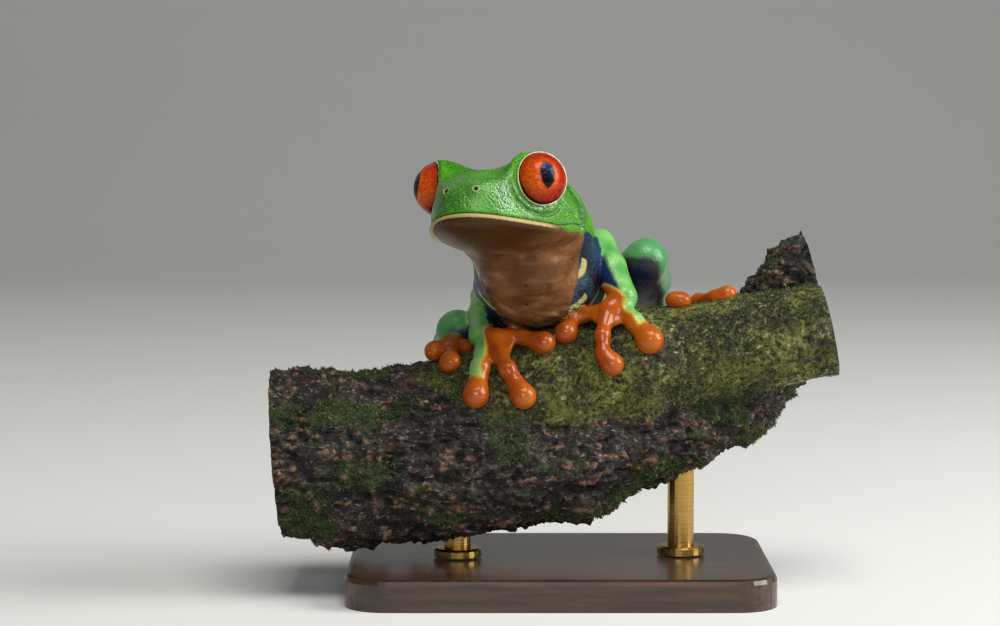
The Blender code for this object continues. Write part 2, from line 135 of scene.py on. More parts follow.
FEET = {
    "left": {
        "palm": ((20.8, 32.0, -16.4, 1.7), (23.4, 23.4, -14.8, 1.6), (24.8, 16.0, -12.9, 1.6)),
        "digits": (
            ((24.2, 15.2, -12.7, 1.0), (22.2, 15.4, -13.2, 0.85), (20.6, 15.6, -13.6, 1.05)),
            ((24.4, 14.8, -12.5, 1.0), (22.8, 13.4, -12.8, 0.9), (21.2, 12.4, -13.0, 1.1)),
            ((24.8, 14.6, -12.4, 1.0), (24.2, 10.8, -10.8, 0.95), (22.7, 6.7, -10.1, 1.05),
             (23.8, 6.4, -10.2, 1.1)),
            ((25.2, 14.8, -12.4, 1.1), (26.4, 9.6, -10.4, 0.95), (28.6, 6.7, -9.8, 1.1),
             (30.2, 6.3, -9.3, 1.15)),
            ((25.4, 15.4, -12.6, 1.0), (28.4, 14.0, -12.6, 0.9), (31.4, 13.4, -12.6, 1.15)),
        ),
    },
    "right": {
        "palm": ((-8.4, 33.0, -23.2, 1.7), (-10.8, 24.0, -22.6, 1.6), (-10.8, 15.8, -20.9, 1.6)),
        "digits": (
            ((-10.0, 15.2, -20.6, 1.0), (-8.2, 13.6, -20.0, 0.85), (-6.6, 12.8, -19.6, 1.0)),
            ((-10.0, 14.4, -20.3, 1.0), (-7.8, 11.0, -18.6, 0.9), (-6.0, 9.4, -17.8, 1.1)),
            ((-10.2, 13.8, -20.0, 1.1), (-8.4, 9.4, -18.2, 0.95), (-6.9, 6.4, -16.9, 1.15)),
            ((-10.2, 13.8, -19.8, 1.1), (-8.4, 8.2, -16.4, 0.95), (-8.7, 5.2, -16.9, 0.95),
             (-8.9, 1.7, -18.5, 1.4)),
            ((-11.0, 14.4, -20.2, 1.0), (-9.2, 9.6, -16.8, 0.95), (-9.6, 7.2, -16.6, 1.0),
             (-11.2, 5.6, -17.2, 1.25)),
        ),
    },
}
SHOULDER_STRIP = (
    (11.0, 8.6, -1.2, 1.3), (11.4, 6.2, -2.9, 1.2), (11.8, 6.2, -4.6, 1.2), (12.4, 5.2, -6.1, 1.1),
    (12.9, 4.0, -7.6, 1.0), (13.5, 3.0, -8.5, 0.8),
)
BODY_LIP = 6.3                          # the height over the mouth that the body's gloss goes by
SPECK_GAP, GRANULE = 2.5, 0.36          # of the dark specks of the throat, and of the skin's granules
PUPIL_HALF_WIDTH, PUPIL_HALF_HEIGHT = 1.22, 1.82
DIGIT_SLIMNESS, KNUCKLE_SIZE, PAD_SIZE = 0.93, 0.93, 0.94
WEB_REACH = {"hand": 0.36, "foot": 0.55}
WEB_RADIUS = 0.42

# Branch: a knobbly log that runs up behind, and the mossy stem that lies over it.
LOG_STATIONS = (
    (-36.5, 7.0, -31.8, 12.1), (-23.3, 7.0, -32.6, 11.8), (-13.3, 7.0, -31.8, 12.0),
    (-4.8, 7.0, -31.2, 11.5), (7.8, 7.5, -31.6, 9.6), (20.9, 9.4, -27.1, 8.1),
    (30.5, 11.4, -23.4, 7.4), (36.5, 14.4, -17.0, 6.8), (41.5, 16.0, -9.6, 6.4),
    (50.5, 17.4, -3.4, 6.2),
)
STEM_STATIONS = (
    (-16.2, 6.5, -28.6, 8.0), (-4.8, 6.5, -26.4, 9.2), (6.6, 7.0, -23.2, 8.7),
    (17.9, 7.0, -19.8, 8.1), (31.4, 7.0, -16.6, 6.7), (50.5, 7.0, -13.3, 6.3),
)
BRANCH_ENDS = ((-34.0, -1.0, 4.0), (47.0, 1.0, 12.0))   # place along X, way it faces, slope in degrees
SAW_PIVOT = (7.0, -25.0)
# Middles of the growth rings, in the row's own frame.
PITHS = ((-34.0, -2.0, 19.7), (47.0, -2.0, 37.6), (47.0, 7.9, 45.7))
KNOB_COUNT = 700

SKIN_CELL, BARK_CELL = 0.36, 0.42       # of the grids that the two surfaces are drawn from
NEAR_ENOUGH = 3.0                       # a part's true distance is worked out within this


def rotation(turns):
    """A frame that faces -Y, as the rows of its own axes: yaw to its right, front up, left side up."""
    yaw, pitch, roll = (math.radians(-angle) for angle in turns)
    about = Matrix.Rotation(yaw, 3, "Z") @ Matrix.Rotation(pitch, 3, "X") @ Matrix.Rotation(roll, 3, "Y")
    return np.array(about).T


HEAD_AXES = rotation(HEAD_TURN)
TRUNK_AXES = rotation(TRUNK_TURN)


def to_head(points):
    return (points - HEAD_PLACE) @ HEAD_AXES.T


def from_head(points):
    return points @ HEAD_AXES + HEAD_PLACE


def to_trunk(points):
    return points @ TRUNK_AXES.T


def smooth_union(a, b, blend):
    """The lower of two distances, rounded off where they are within the blend of each other."""
    share = np.maximum(blend - np.abs(a - b), 0.0) / blend
    return np.minimum(a, b) - share * share * blend * 0.25


def ease(low, high, value):
    """0 below low, 1 above high and smooth between."""
    share = np.clip((value - low) / (high - low), 0.0, 1.0)
    return share * share * (3.0 - 2.0 * share)


def length(vectors):
    return np.sqrt((vectors * vectors).sum(axis=-1))


def unit(vectors):
    return vectors / np.maximum(length(vectors), 1e-9)[..., None]


def tapered(points, start, end):
    """Distance to a round bar between two (x, y, z, radius) stations."""
    start, end = np.asarray(start), np.asarray(end)
    run = end[:3] - start[:3]
    away = points - start[:3]
    share = np.clip(away @ run / max(run @ run, 1e-9), 0.0, 1.0)
    return length(away - share[:, None] * run) - (start[3] + share * (end[3] - start[3]))


def joined(fields, blend):
    """Several distances rounded into one, in turn."""
    return functools.reduce(lambda a, b: smooth_union(a, b, blend), fields)


def chain(points, stations, blend):
    """Distance to a row of tapered bars."""
    return joined((tapered(points, *ends) for ends in zip(stations, stations[1:])), blend)


def nearby(points, field, middle, reach):
    """The field where a part is near, and a safe shorter distance further off, which costs less."""
    far = length(points - np.asarray(middle)) - reach
    near = far < NEAR_ENOUGH
    if near.any():
        far[near] = field(points[near])
    return far


def span_of(*chains):
    """The middle and reach of a ball that holds every station."""
    stations = np.array([station for stations in chains for station in stations])
    low = (stations[:, :3] - stations[:, 3:]).min(axis=0)
    high = (stations[:, :3] + stations[:, 3:]).max(axis=0)
    return (low + high) / 2.0, float(length(high - low)) / 2.0


def ellipsoid(points, centre, radii):
    away = points - np.asarray(centre)
    radii = np.asarray(radii)
    near = length(away / radii)
    return near * (near - 1.0) / np.maximum(length(away / radii ** 2), 1e-9)


def trunk_mass(points):
    """Distance to the trunk, whose section is wider than it is high."""
    stretches = []
    aside = points[:, 0] - TRUNK_ASIDE
    for start, end in zip(TRUNK_STATIONS, TRUNK_STATIONS[1:]):
        run = np.array(end[:2]) - start[:2]
        share = np.clip(((points[:, 1:] - start[:2]) @ run) / (run @ run), 0.0, 1.0)
        middle = np.array(start[:2]) + share[:, None] * run
        radius = start[2] + share * (end[2] - start[2])
        stretch = start[3] + share * (end[3] - start[3])
        rise = ((points[:, 1:] - middle) ** 2).sum(axis=1)
        near = np.sqrt((aside / stretch) ** 2 + rise) / radius
        slope = np.sqrt((aside / stretch ** 2) ** 2 + rise) / radius ** 2
        stretches.append(near * (near - 1.0) / np.maximum(slope, 1e-9))
    return joined([joined(stretches, 1.0), *(ellipsoid(points, *mass) for mass in BACK_MASSES)], 2.0)


def skull_mass(points):
    """Distance to a rounded wedge, flatter on top, shallow below the mouth."""
    x, y, z = points.T
    reach = np.where(y < 0, SNOUT_REACH, NAPE_REACH)
    height = np.where(z > 0, SKULL_HEIGHT, JAW_DEPTH)
    power = np.where(z > 0, SKULL_SQUARENESS, 2.0)
    flat = np.maximum(np.hypot(x / JAW_HALF_WIDTH, y / reach), 1e-6)
    tall = np.abs(z) / height
    norm = np.maximum((flat ** power + tall ** power) ** (1.0 / power), 1e-6)
    grow_flat = np.hypot(x / JAW_HALF_WIDTH ** 2, y / reach ** 2) / flat * flat ** (power - 1.0)
    grow_tall = tall ** (power - 1.0) / height
    slope = np.hypot(grow_flat, grow_tall) * norm ** (1.0 - power)
    return (norm - 1.0) / np.maximum(slope, 0.02)


def eye_axis(side):
    outward, upward = math.radians(EYE_OUTWARD), math.radians(EYE_UPWARD)
    forward = -math.cos(outward) * math.cos(upward)
    return np.array((side * math.sin(outward) * math.cos(upward), forward, math.sin(upward)))


def mirrored(place, side):
    return np.array((side * place[0], place[1], place[2]))


def mouth_curve(turn_angle):
    """A point of the mouth line: 0 degrees is the frog's left corner, 90 the tip of the snout."""
    angle = math.radians(turn_angle)
    x, y = JAW_HALF_WIDTH * math.cos(angle), -SNOUT_REACH * math.sin(angle)
    return x, y, float(mouth_height(np.array(((x, y, 0.0),)))[0])


def mouth_height(points):
    """The height of the mouth line at each point's distance forward."""
    forward = np.clip(-points[:, 1] / SNOUT_REACH, 0.0, 1.0)
    return MOUTH_ARCH * forward ** 3 + CORNER_LIFT * ease(-6.5, -1.0, points[:, 1])


def eye_place(points, side):
    """Distance out from the eye's axis, and height along it."""
    away = points - mirrored(EYE_PLACE, side)
    height = away @ eye_axis(side)
    return np.sqrt(np.maximum((away * away).sum(axis=1) - height * height, 0.0)), height


def lip_chain():
    """The lower lip, a rounded bead just inside the upper one."""
    stations = []
    for step in range(37):
        turn = step * 5.0
        x, y, z = mouth_curve(turn)
        radius = 0.25 + 0.4 * float(ease(0.0, 30.0, min(turn, 180.0 - turn)))
        stations.append((x * 0.955, y * 0.969, z - radius, radius))
    return stations


def rim_rise(front):
    """The height of the eyelids' rim along the eye's axis, which is greater towards the snout."""
    return RIM_HEIGHT + RIM_RAISE * np.maximum(front, 0.0) ** 2


def rim_place(points, side):
    """How far towards the snout (1) or the nape (-1) a point lies round the eye, and the rim there."""
    out, _ = eye_place(points, side)
    outward = math.radians(EYE_OUTWARD)
    ahead = np.array((-side * math.cos(outward), -math.sin(outward), 0.0))
    front = np.clip((points - mirrored(EYE_PLACE, side)) @ ahead / np.maximum(out, 0.5), -1.0, 1.0)
    return front, rim_rise(front)


def lid_roll(points, side):
    """The roll of the eyelid, below and before the eye, which runs out above it."""
    ring, radius, drop = 4.16, 0.48, 0.3
    out, height = eye_place(points, side)
    front, rim = rim_place(points, side)
    rise = (points - mirrored(EYE_PLACE, side))[:, 2]
    above = ease(-1.8, 1.6, rise) * (1.0 - ease(0.1, 0.9, front))
    # The right lid lies flatter below the eye.
    below = 0.45 * ease(-1.0, -2.6, rise) if side < 0 else 0.0
    thin = 0.8 * above + 0.5 * ease(-0.2, -0.8, front) + below
    front = np.maximum(front, 0.0)
    return np.hypot(out - ring, height - rim + drop - 0.16 * front) - radius + 0.04 * front + thin


def lid_cone(points, side):
    """Flesh stays below this flared cone, so the whole rim of the eye shows."""
    out, height = eye_place(points, side)
    front, rim = rim_place(points, side)
    ring, cut_off, clear = 3.6, 6.0, 0.08
    flare = 0.33 + 0.22 * np.maximum(front, 0.0)
    return np.where(out < cut_off, (height - rim + clear - flare * (out - ring)) * 0.8, -9.0)


def head_mass(points):
    found = skull_mass(points)
    near = (np.abs(found) < 2.0) & (points[:, 2] < 2.5)
    if near.any():
        found[near] = smooth_union(found[near], chain(points[near], lip_chain(), 0.3), 0.4)
    for side in (1, -1):
        eye = mirrored(EYE_PLACE, side)
        ridge = [(*mirrored(end, side), CANTHUS_RADIUS) for end in (CANTHUS_END, CANTHUS_START)]
        found = smooth_union(found, tapered(points, *ridge), 1.2)
        dome = length(points - (eye - LID_SINK * eye_axis(side))) - LID_RADIUS
        inner = ease(1.0, -3.5, side * points[:, 0] - EYE_PLACE[0])
        inner = inner * ease(-1.0, 2.0, points[:, 2] - EYE_PLACE[2])
        found = smooth_union(found, dome, 1.3 + 1.7 * inner)
    for side in (1, -1):
        softness = 0.3 + 1.2 * np.maximum(rim_place(points, side)[0], 0.0)
        found = smooth_union(found, lid_roll(points, side), softness)
        found = -smooth_union(-found, -lid_cone(points, side), 0.35)
    return found


def digit_mass(points, digit):
    """A digit: slim between its joints, with a knuckle at each and a round pad at its tip."""
    found = chain(points, [(*station[:3], station[3] * DIGIT_SLIMNESS) for station in digit], 0.4)
    for station in digit[1:-1]:
        found = smooth_union(found, length(points - station[:3]) - KNUCKLE_SIZE * station[3], 0.9)
    tip = digit[-1]
    return smooth_union(found, length(points - tip[:3]) - PAD_SIZE * tip[3], 1.2)


def digits_mass(points, plan, kind):
    """Distance to a hand or foot with its webs."""
    digits = plan["digits"]
    fingers = (nearby(points, lambda p: digit_mass(p, digit), *span_of(digit)) for digit in digits)
    found = joined([chain(points, plan["palm"], 0.5), *fingers], 0.7)
    webs = (nearby(points, lambda p: web_mass(p, *pair, WEB_REACH[kind]), *span_of(*pair))
            for pair in zip(digits, digits[1:]))
    return joined([found, *webs], 0.5)


def along(digit, share):
    """The place at a share of a digit's length, from its root."""
    stops = [np.asarray(station[:3]) for station in digit]
    runs = [float(length(b - a)) for a, b in zip(stops, stops[1:])]
    left = share * sum(runs)
    for here, ahead, run in zip(stops, stops[1:], runs):
        if left <= run:
            return here + (ahead - here) * left / run
        left -= run
    return stops[-1]


def web_mass(points, digit, neighbour, reach):
    """A thin web between the roots of two digits, as a fan of slim bars."""
    bars = []
    count = 9
    for step in range(count):
        share = reach * (step + 0.5) / count
        bars.append([(*along(finger, share), WEB_RADIUS) for finger in (digit, neighbour)])
    return joined((tapered(points, *ends) for ends in bars), 0.3)


def flesh_parts(points):
    """Distance to each part of the frog."""
    parts = {"head": nearby(to_head(points), head_mass, (0.0, -6.0, 2.0), 16.0),
             "trunk": trunk_mass(to_trunk(points))}
    for side in SIDES:
        for kind, plans, blend in (("upper_arm", ARMS, 0.6), ("forearm", ARMS, 0.6),
                                   ("thigh", LEGS, 0.8), ("shank", LEGS, 0.8)):
            stations = plans[side][kind]
            parts[kind + "_" + side] = nearby(points, lambda p: chain(p, stations, blend), *span_of(stations))
        for kind, plans in (("hand", HANDS), ("foot", FEET)):
            plan = plans[side]
            parts[kind + "_" + side] = nearby(points, lambda p: digits_mass(p, plan, kind),
                                              *span_of(plan["palm"], *plan["digits"]))
    return parts


def crease(points, stops, width, depth):
    """How deep a fine fold runs, for stops given along and up the side of the head."""
    flat = points * np.array((0.0, 1.0, 1.0))
    line = chain(flat, [(0.0, *stop, 0.0) for stop in stops], 0.2)
    return depth * np.exp(-(line / width) ** 2)


def flesh(points):
    """Distance to the whole frog, each part rounded into what it grows from."""
    parts = flesh_parts(points)
    nape = 1.6 + 2.2 * ease(1.0, 4.0, to_head(points)[:, 2])
    body = smooth_union(parts["trunk"], parts["head"], nape)
    found = body
    for side in SIDES:
        for root, *rest in LIMBS:
            limb = parts[root + "_" + side]
            found = np.minimum(found, smooth_union(body, limb, ROOT_BLEND))
            for kind in rest:
                limb = smooth_union(limb, parts[kind + "_" + side], LIMB_BLEND)
            found = np.minimum(found, limb)
    near = (np.abs(found) < 1.5) & (parts["head"] < 3.0)
    if near.any():
        found[near] += head_creases(to_head(points[near]))
    return found


def head_creases(head):
    """The shut mouth, the nostrils and the folds of the head."""
    # The mouth is a fine crease.
    depth, width = 0.2, 0.12
    gap = head[:, 2] - mouth_height(head)
    move = depth * np.exp(-(gap / width) ** 2) * ease(2.0, 0.5, head[:, 1]) * (skull_mass(head) > -1.2)
    side = np.abs(head[:, 0])
    # A fold runs from behind the eye over the eardrum to the shoulder, with a finer one before it.
    fold = ((-1.8, 6.0), (-0.6, 4.7), (0.0, 3.3), (0.9, 2.0), (1.7, 0.8), (1.5, -0.4), (1.1, -2.0))
    ear = ((-5.2, 4.2), (-4.0, 2.9), (-2.4, 1.8), (-1.2, 1.8), (-0.4, 2.6))
    swell = [(back + 0.95, up) for back, up in fold[:5]]
    folds = crease(head, fold, 0.4, 0.55) + crease(head, ear, 0.28, 0.34) - crease(head, swell, 0.7, 0.22)
    move += ease(6.6, 8.0, side) * folds
    for sign in (1, -1):
        # The nostrils are small pits in low rims.
        near = length(head - mirrored(NOSTRIL_PLACE, sign))
        move += 0.7 * np.exp(-(near / 0.24) ** 2) - 0.1 * np.exp(-((near - 0.42) / 0.16) ** 2)
        # A crease under the roll of the lower lid.
        out, height = eye_place(head, sign)
        low = ease(0.5, -2.0, (head - mirrored(EYE_PLACE, sign))[:, 2])
        move += low * 0.42 * np.exp(-((out - 4.86) / 0.22) ** 2) * (height > -2.0)
    return move


def gradient(field, points, reach=0.04):
    """The field's value and slope at each point, from four samples around it."""
    corners = np.array(((1, 1, 1), (1, -1, -1), (-1, 1, -1), (-1, -1, 1)), dtype=float)
    values = [field(points + corner * reach) for corner in corners]
    slope = sum(value[:, None] * corner for value, corner in zip(values, corners)) / (4.0 * reach)
    return sum(values) / 4.0, slope


def settle(field, points, rounds=3):
    """Move points onto the field's surface."""
    for _ in range(rounds):
        value, slope = gradient(field, points)
        steep = np.maximum((slope * slope).sum(axis=1), 0.2)
        step = np.clip(value / steep, -0.4, 0.4)
        points = points - step[:, None] * slope
    return points


def sampled(field, low, high, cell, block=12):
    """The field on a grid, worked out only in the blocks that lie near its surface."""
    counts = np.ceil((np.asarray(high) - low) / (cell * block)).astype(int)
    shape = counts * block + 1
    values = np.ones(shape, dtype=np.float32)
    starts = np.array(list(itertools.product(*(range(count) for count in counts))))
    middles = np.asarray(low) + (starts + 0.5) * block * cell
    coarse = field(middles)
    reach = block * cell * math.sqrt(3.0) / 2.0 * 1.25 + cell
    inner = starts[coarse < -reach]
    steps = np.arange(block + 1)
    for start in inner:
        a, b, c = start * block
        values[a:a + block + 1, b:b + block + 1, c:c + block + 1] = -1.0
    near = starts[np.abs(coarse) <= reach]
    offsets = np.array(list(itertools.product(steps, steps, steps)))
    for group in np.array_split(near, max(1, len(near) // 120)):
        where = (group[:, None, :] * block + offsets[None]).reshape(-1, 3)
        found = field(np.asarray(low) + where * cell)
        values[where[:, 0], where[:, 1], where[:, 2]] = found
    return values


def net(values, low, cell):
    """A closed mesh of quads where a grid of values changes sign."""
    inside = values < 0
    sizes = np.array(values.shape) - 1
    corners = list(itertools.product((0, 1), repeat=3))
    count = sum(inside[tuple(slice(c, c + s) for c, s in zip(corner, sizes))].astype(np.int8)
                for corner in corners)
    mixed = (count > 0) & (count < 8)
    places = np.argwhere(mixed)
    number = np.full(mixed.shape, -1, dtype=np.int64)
    number[mixed] = np.arange(len(places))
    # Each vertex is the mean of the places where its cell's edges cross the surface.
    total = np.zeros((len(places), 3))
    crossings = np.zeros(len(places))
    at = {corner: values[tuple((places + corner).T)].astype(float) for corner in corners}
    for corner, axis in itertools.product(corners, range(3)):
        if corner[axis]:
            continue
        other = tuple(1 if i == axis else c for i, c in enumerate(corner))
        a, b = at[corner], at[other]
        crosses = (a < 0) != (b < 0)
        share = np.where(crosses, a / np.where(a == b, 1.0, a - b), 0.0)
        spot = np.array(corner, dtype=float) + share[:, None] * np.eye(3)[axis]
        total += np.where(crosses[:, None], spot, 0.0)
        crossings += crosses
    verts = np.asarray(low) + (places + total / crossings[:, None]) * cell
    quads = []
    for axis in range(3):
        first, second = (axis + 1) % 3, (axis + 2) % 3
        here = inside.take(range(0, sizes[axis]), axis=axis)
        ahead = inside.take(range(1, sizes[axis] + 1), axis=axis)
        edges = np.argwhere(here != ahead)
        for other in (first, second):
            edges = edges[(edges[:, other] > 0) & (edges[:, other] < sizes[other])]
        ring = []
        for steps in ((1, 1), (0, 1), (0, 0), (1, 0)):
            back = np.zeros(3, dtype=int)
            back[[first, second]] = steps
            ring.append(number[tuple((edges - back).T)])
        ring = np.stack(ring, axis=1)
        outwards = ~inside[tuple(edges.T)]
        ring[outwards] = ring[outwards][:, ::-1]
        quads.append(ring)
    return verts, np.concatenate(quads)


def placed(name, data):
    """An object in the scene that shows this mesh, lamp or lens."""
    made = bpy.data.objects.new(name, data)
    bpy.context.collection.objects.link(made)
    return made


def mesh_object(name, verts, faces):
    """An object whose mesh is in metres in the row's frame."""
    mesh = bpy.data.meshes.new(name)
    mesh.from_pydata(((np.asarray(verts) + JAW) * MM).tolist(), [], [tuple(face) for face in faces])
    mesh.validate()
    mesh.shade_smooth()
    return placed(name, mesh)


@contextlib.contextmanager
def edited(mesh):
    """A mesh opened for editing and then written back."""
    bm = bmesh.new()
    bm.from_mesh(mesh)
    yield bm
    bm.to_mesh(mesh)
    bm.free()


def vectors_of(mesh, name):
    """The places ("co") or directions ("normal") of a mesh's vertices, one to a row."""
    flat = np.empty(len(mesh.vertices) * 3)
    mesh.vertices.foreach_get(name, flat)
    return flat.reshape(-1, 3)


def places_of(mesh):
    return vectors_of(mesh, "co") / MM - JAW


def put_places(mesh, points):
    mesh.vertices.foreach_set("co", ((points + JAW) * MM).ravel())
    mesh.update()


def store(mesh, **kept):
    """Keep one number or one vector for each vertex, under each name."""
    for name, values in kept.items():
        kind, key = ("FLOAT", "value") if np.ndim(values) == 1 else ("FLOAT_VECTOR", "vector")
        layer = mesh.attributes.new(name, kind, "POINT")
        layer.data.foreach_set(key, np.asarray(values, dtype=np.float32).ravel())


def lattice(points, seed):
    """Smooth noise from -1 to 1, with one cell for each unit of length."""
    cell = np.floor(points).astype(np.int64)
    share = points - cell
    share = share * share * share * (share * (share * 6.0 - 15.0) + 10.0)
    total = np.zeros(len(points))
    for corner in itertools.product((0, 1), repeat=3):
        spot = cell + np.array(corner)
        mixed = spot[:, 0] * 73856093 ^ spot[:, 1] * 19349663 ^ spot[:, 2] * 83492791 ^ seed * 2654435761
        mixed = (mixed ^ (mixed >> 13)) * 1274126177 & 0x7FFFFFFF
        value = ((mixed ^ (mixed >> 16)) & 0xFFFF) / 32767.5 - 1.0
        weight = np.prod(np.where(np.array(corner) == 1, share, 1.0 - share), axis=1)
        total += weight * value
    return total


def layered(points, seed, octaves=4, fade=0.5):
    """Noise on noise, each layer half the size and weaker by the fade."""
    total, weight, strength = np.zeros(len(points)), 0.0, 1.0
    for octave in range(octaves):
        total += strength * lattice(points * 2.0 ** octave, seed + octave)
        weight += strength
        strength *= fade
    return total / weight


def hue(text):
    """A linear colour from sRGB hex."""
    channels = [int(text[i:i + 2], 16) / 255.0 for i in (1, 3, 5)]
    return (*(c / 12.92 if c <= 0.04045 else ((c + 0.055) / 1.055) ** 2.4 for c in channels), 1.0)


MATH, RANGE, MIX, BUMP = "ShaderNodeMath", "ShaderNodeMapRange", "ShaderNodeMix", "ShaderNodeBump"
COORDS, KEPT, VECTORS = "ShaderNodeTexCoord", "ShaderNodeAttribute", "ShaderNodeVectorMath"
NOISE, CELLS = "ShaderNodeTexNoise", "ShaderNodeTexVoronoi"


def feed(node, inputs):
    """Gives each named or numbered input a value, an sRGB hex colour or the socket that feeds it."""
    for key, value in inputs.items() if isinstance(inputs, dict) else enumerate(inputs):
        if isinstance(value, bpy.types.NodeSocket):
            node.id_data.links.new(value, node.inputs[key])
        elif isinstance(value, str) and value.startswith("#"):
            node.inputs[key].default_value = hue(value)
        else:
            node.inputs[key].default_value = value


def add(tree, kind, inputs=(), out=0, **settings):
    """Adds one node with its settings and inputs."""
    made = tree.nodes.new(kind)
    for name, value in settings.items():
        setattr(made, name, value)
    feed(made, inputs)
    return made.outputs[out] if made.outputs else made


def blank(name):
    """An empty material and its Principled shader."""
    made = bpy.data.materials.new(name)
    made.use_nodes = True
    tree = made.node_tree
    tree.nodes.clear()
    surface = add(tree, "ShaderNodeBsdfPrincipled")
    add(tree, "ShaderNodeOutputMaterial", {"Surface": surface})
    return made, tree, surface.node


def lay(tree, under, over, value, low, high):
    """Lays one colour over another as a value rises from low to high."""
    share = add(tree, RANGE, (value, low, high), interpolation_type="SMOOTHSTEP")
    return add(tree, MIX, {0: share, 6: under, 7: over}, out=2, data_type="RGBA")


def grain(tree, coords, size, detail=3.0, roughness=0.5, stretch=(1, 1, 1)):
    """Noise with features of about this many millimetres, longer along each axis by its stretch."""
    scale = tuple(1.0 / (size * MM * share) for share in stretch)
    scaled = add(tree, "ShaderNodeMapping", {"Vector": coords, "Scale": scale})
    return add(tree, NOISE, {"Vector": scaled, "Scale": 1.0, "Detail": detail, "Roughness": roughness})


# ---------------------------------------------------------------- skin

def drawn(field, name, low, high, cell):
    """An object whose mesh lies on a field's surface within a box, and its vertices' places."""
    low, high = np.array(low), np.array(high)
    verts, quads = net(sampled(field, low, high, cell), low, cell)
    verts = settle(field, verts, 2)
    return mesh_object(name, verts, quads), verts


def build_skin():
    skin, _ = drawn(flesh, "skin", (-20.0, -21.0, -31.0), (37.0, 44.0, 14.0), SKIN_CELL)
    refine_head(skin.data)
    points = settle(flesh, places_of(skin.data), 3)
    put_places(skin.data, points)
    put_places(skin.data, points + vectors_of(skin.data, "normal") * wrinkles(points)[:, None])
    colour_maps(skin.data, points)
    return skin


def chest_edge(trunk):
    """How far forward of the trunk's sides a point lies, on the slope of the chest."""
    return 2.3 - trunk[:, 1] - 1.12 * trunk[:, 2]


def wrinkles(points):
    """Slack folds across the throat and chest, up to half a millimetre deep."""
    trunk = to_trunk(points)
    bare = ease(0.0, 1.5, chest_edge(trunk)) * ease(3.0, 5.0, skull_mass(to_head(points)))
    bare *= ease(9.5, 7.5, np.abs(trunk[:, 0])) * ease(1.4, 0.5, trunk_mass(trunk))
    arms = (chain(points, ARMS[side]["upper_arm"], 0.5) for side in SIDES)
    bare *= ease(0.5, 2.0, np.minimum(*arms))
    folds = layered(points * np.array((0.1, 0.3, 0.38)), 61, 3, 0.6)
    furrow, swell, width = 0.4, 0.9, 0.1
    return -furrow * bare * np.exp(-(folds / width) ** 2) + swell * bare * folds


def drop_crumbs(bm):
    """Keep only the largest connected shell of a mesh."""
    bm.verts.index_update()
    unseen = [True] * len(bm.verts)
    shells = []
    for start in bm.verts:
        if not unseen[start.index]:
            continue
        unseen[start.index] = False
        shell = [start]
        for vert in shell:
            for edge in vert.link_edges:
                other = edge.other_vert(vert)
                if unseen[other.index]:
                    unseen[other.index] = False
                    shell.append(other)
        shells.append(shell)
    shells.sort(key=len)
    bmesh.ops.delete(bm, geom=[vert for shell in shells[:-1] for vert in shell], context="VERTS")


def refine_head(mesh):
    """Split the faces of the head's front, where the finest shapes are."""
    with edited(mesh) as bm:
        drop_crumbs(bm)
        head = to_head(np.array([face.calc_center_median() for face in bm.faces]) / MM - JAW)
        near = (np.abs(skull_mass(head)) < 0.9) & (head[:, 1] < 3.4) & (head[:, 2] > -2.2)
        chosen = {edge for face, wanted in zip(bm.faces, near) if wanted for edge in face.edges}
        bmesh.ops.subdivide_edges(bm, edges=list(chosen), cuts=1, use_grid_fill=True)
        bmesh.ops.triangulate(bm, faces=[face for face in bm.faces if len(face.verts) > 4])
    mesh.shade_smooth()


def share_of(parts, kinds):
    """1 on the named kinds of part and 0 on the others, changing softly where they meet."""
    near = {True: 99.0, False: 99.0}
    for name, field in parts.items():
        own = name.startswith(kinds)
        near[own] = np.minimum(near[own], field)
    return ease(-1.3, 1.3, near[False] - near[True])


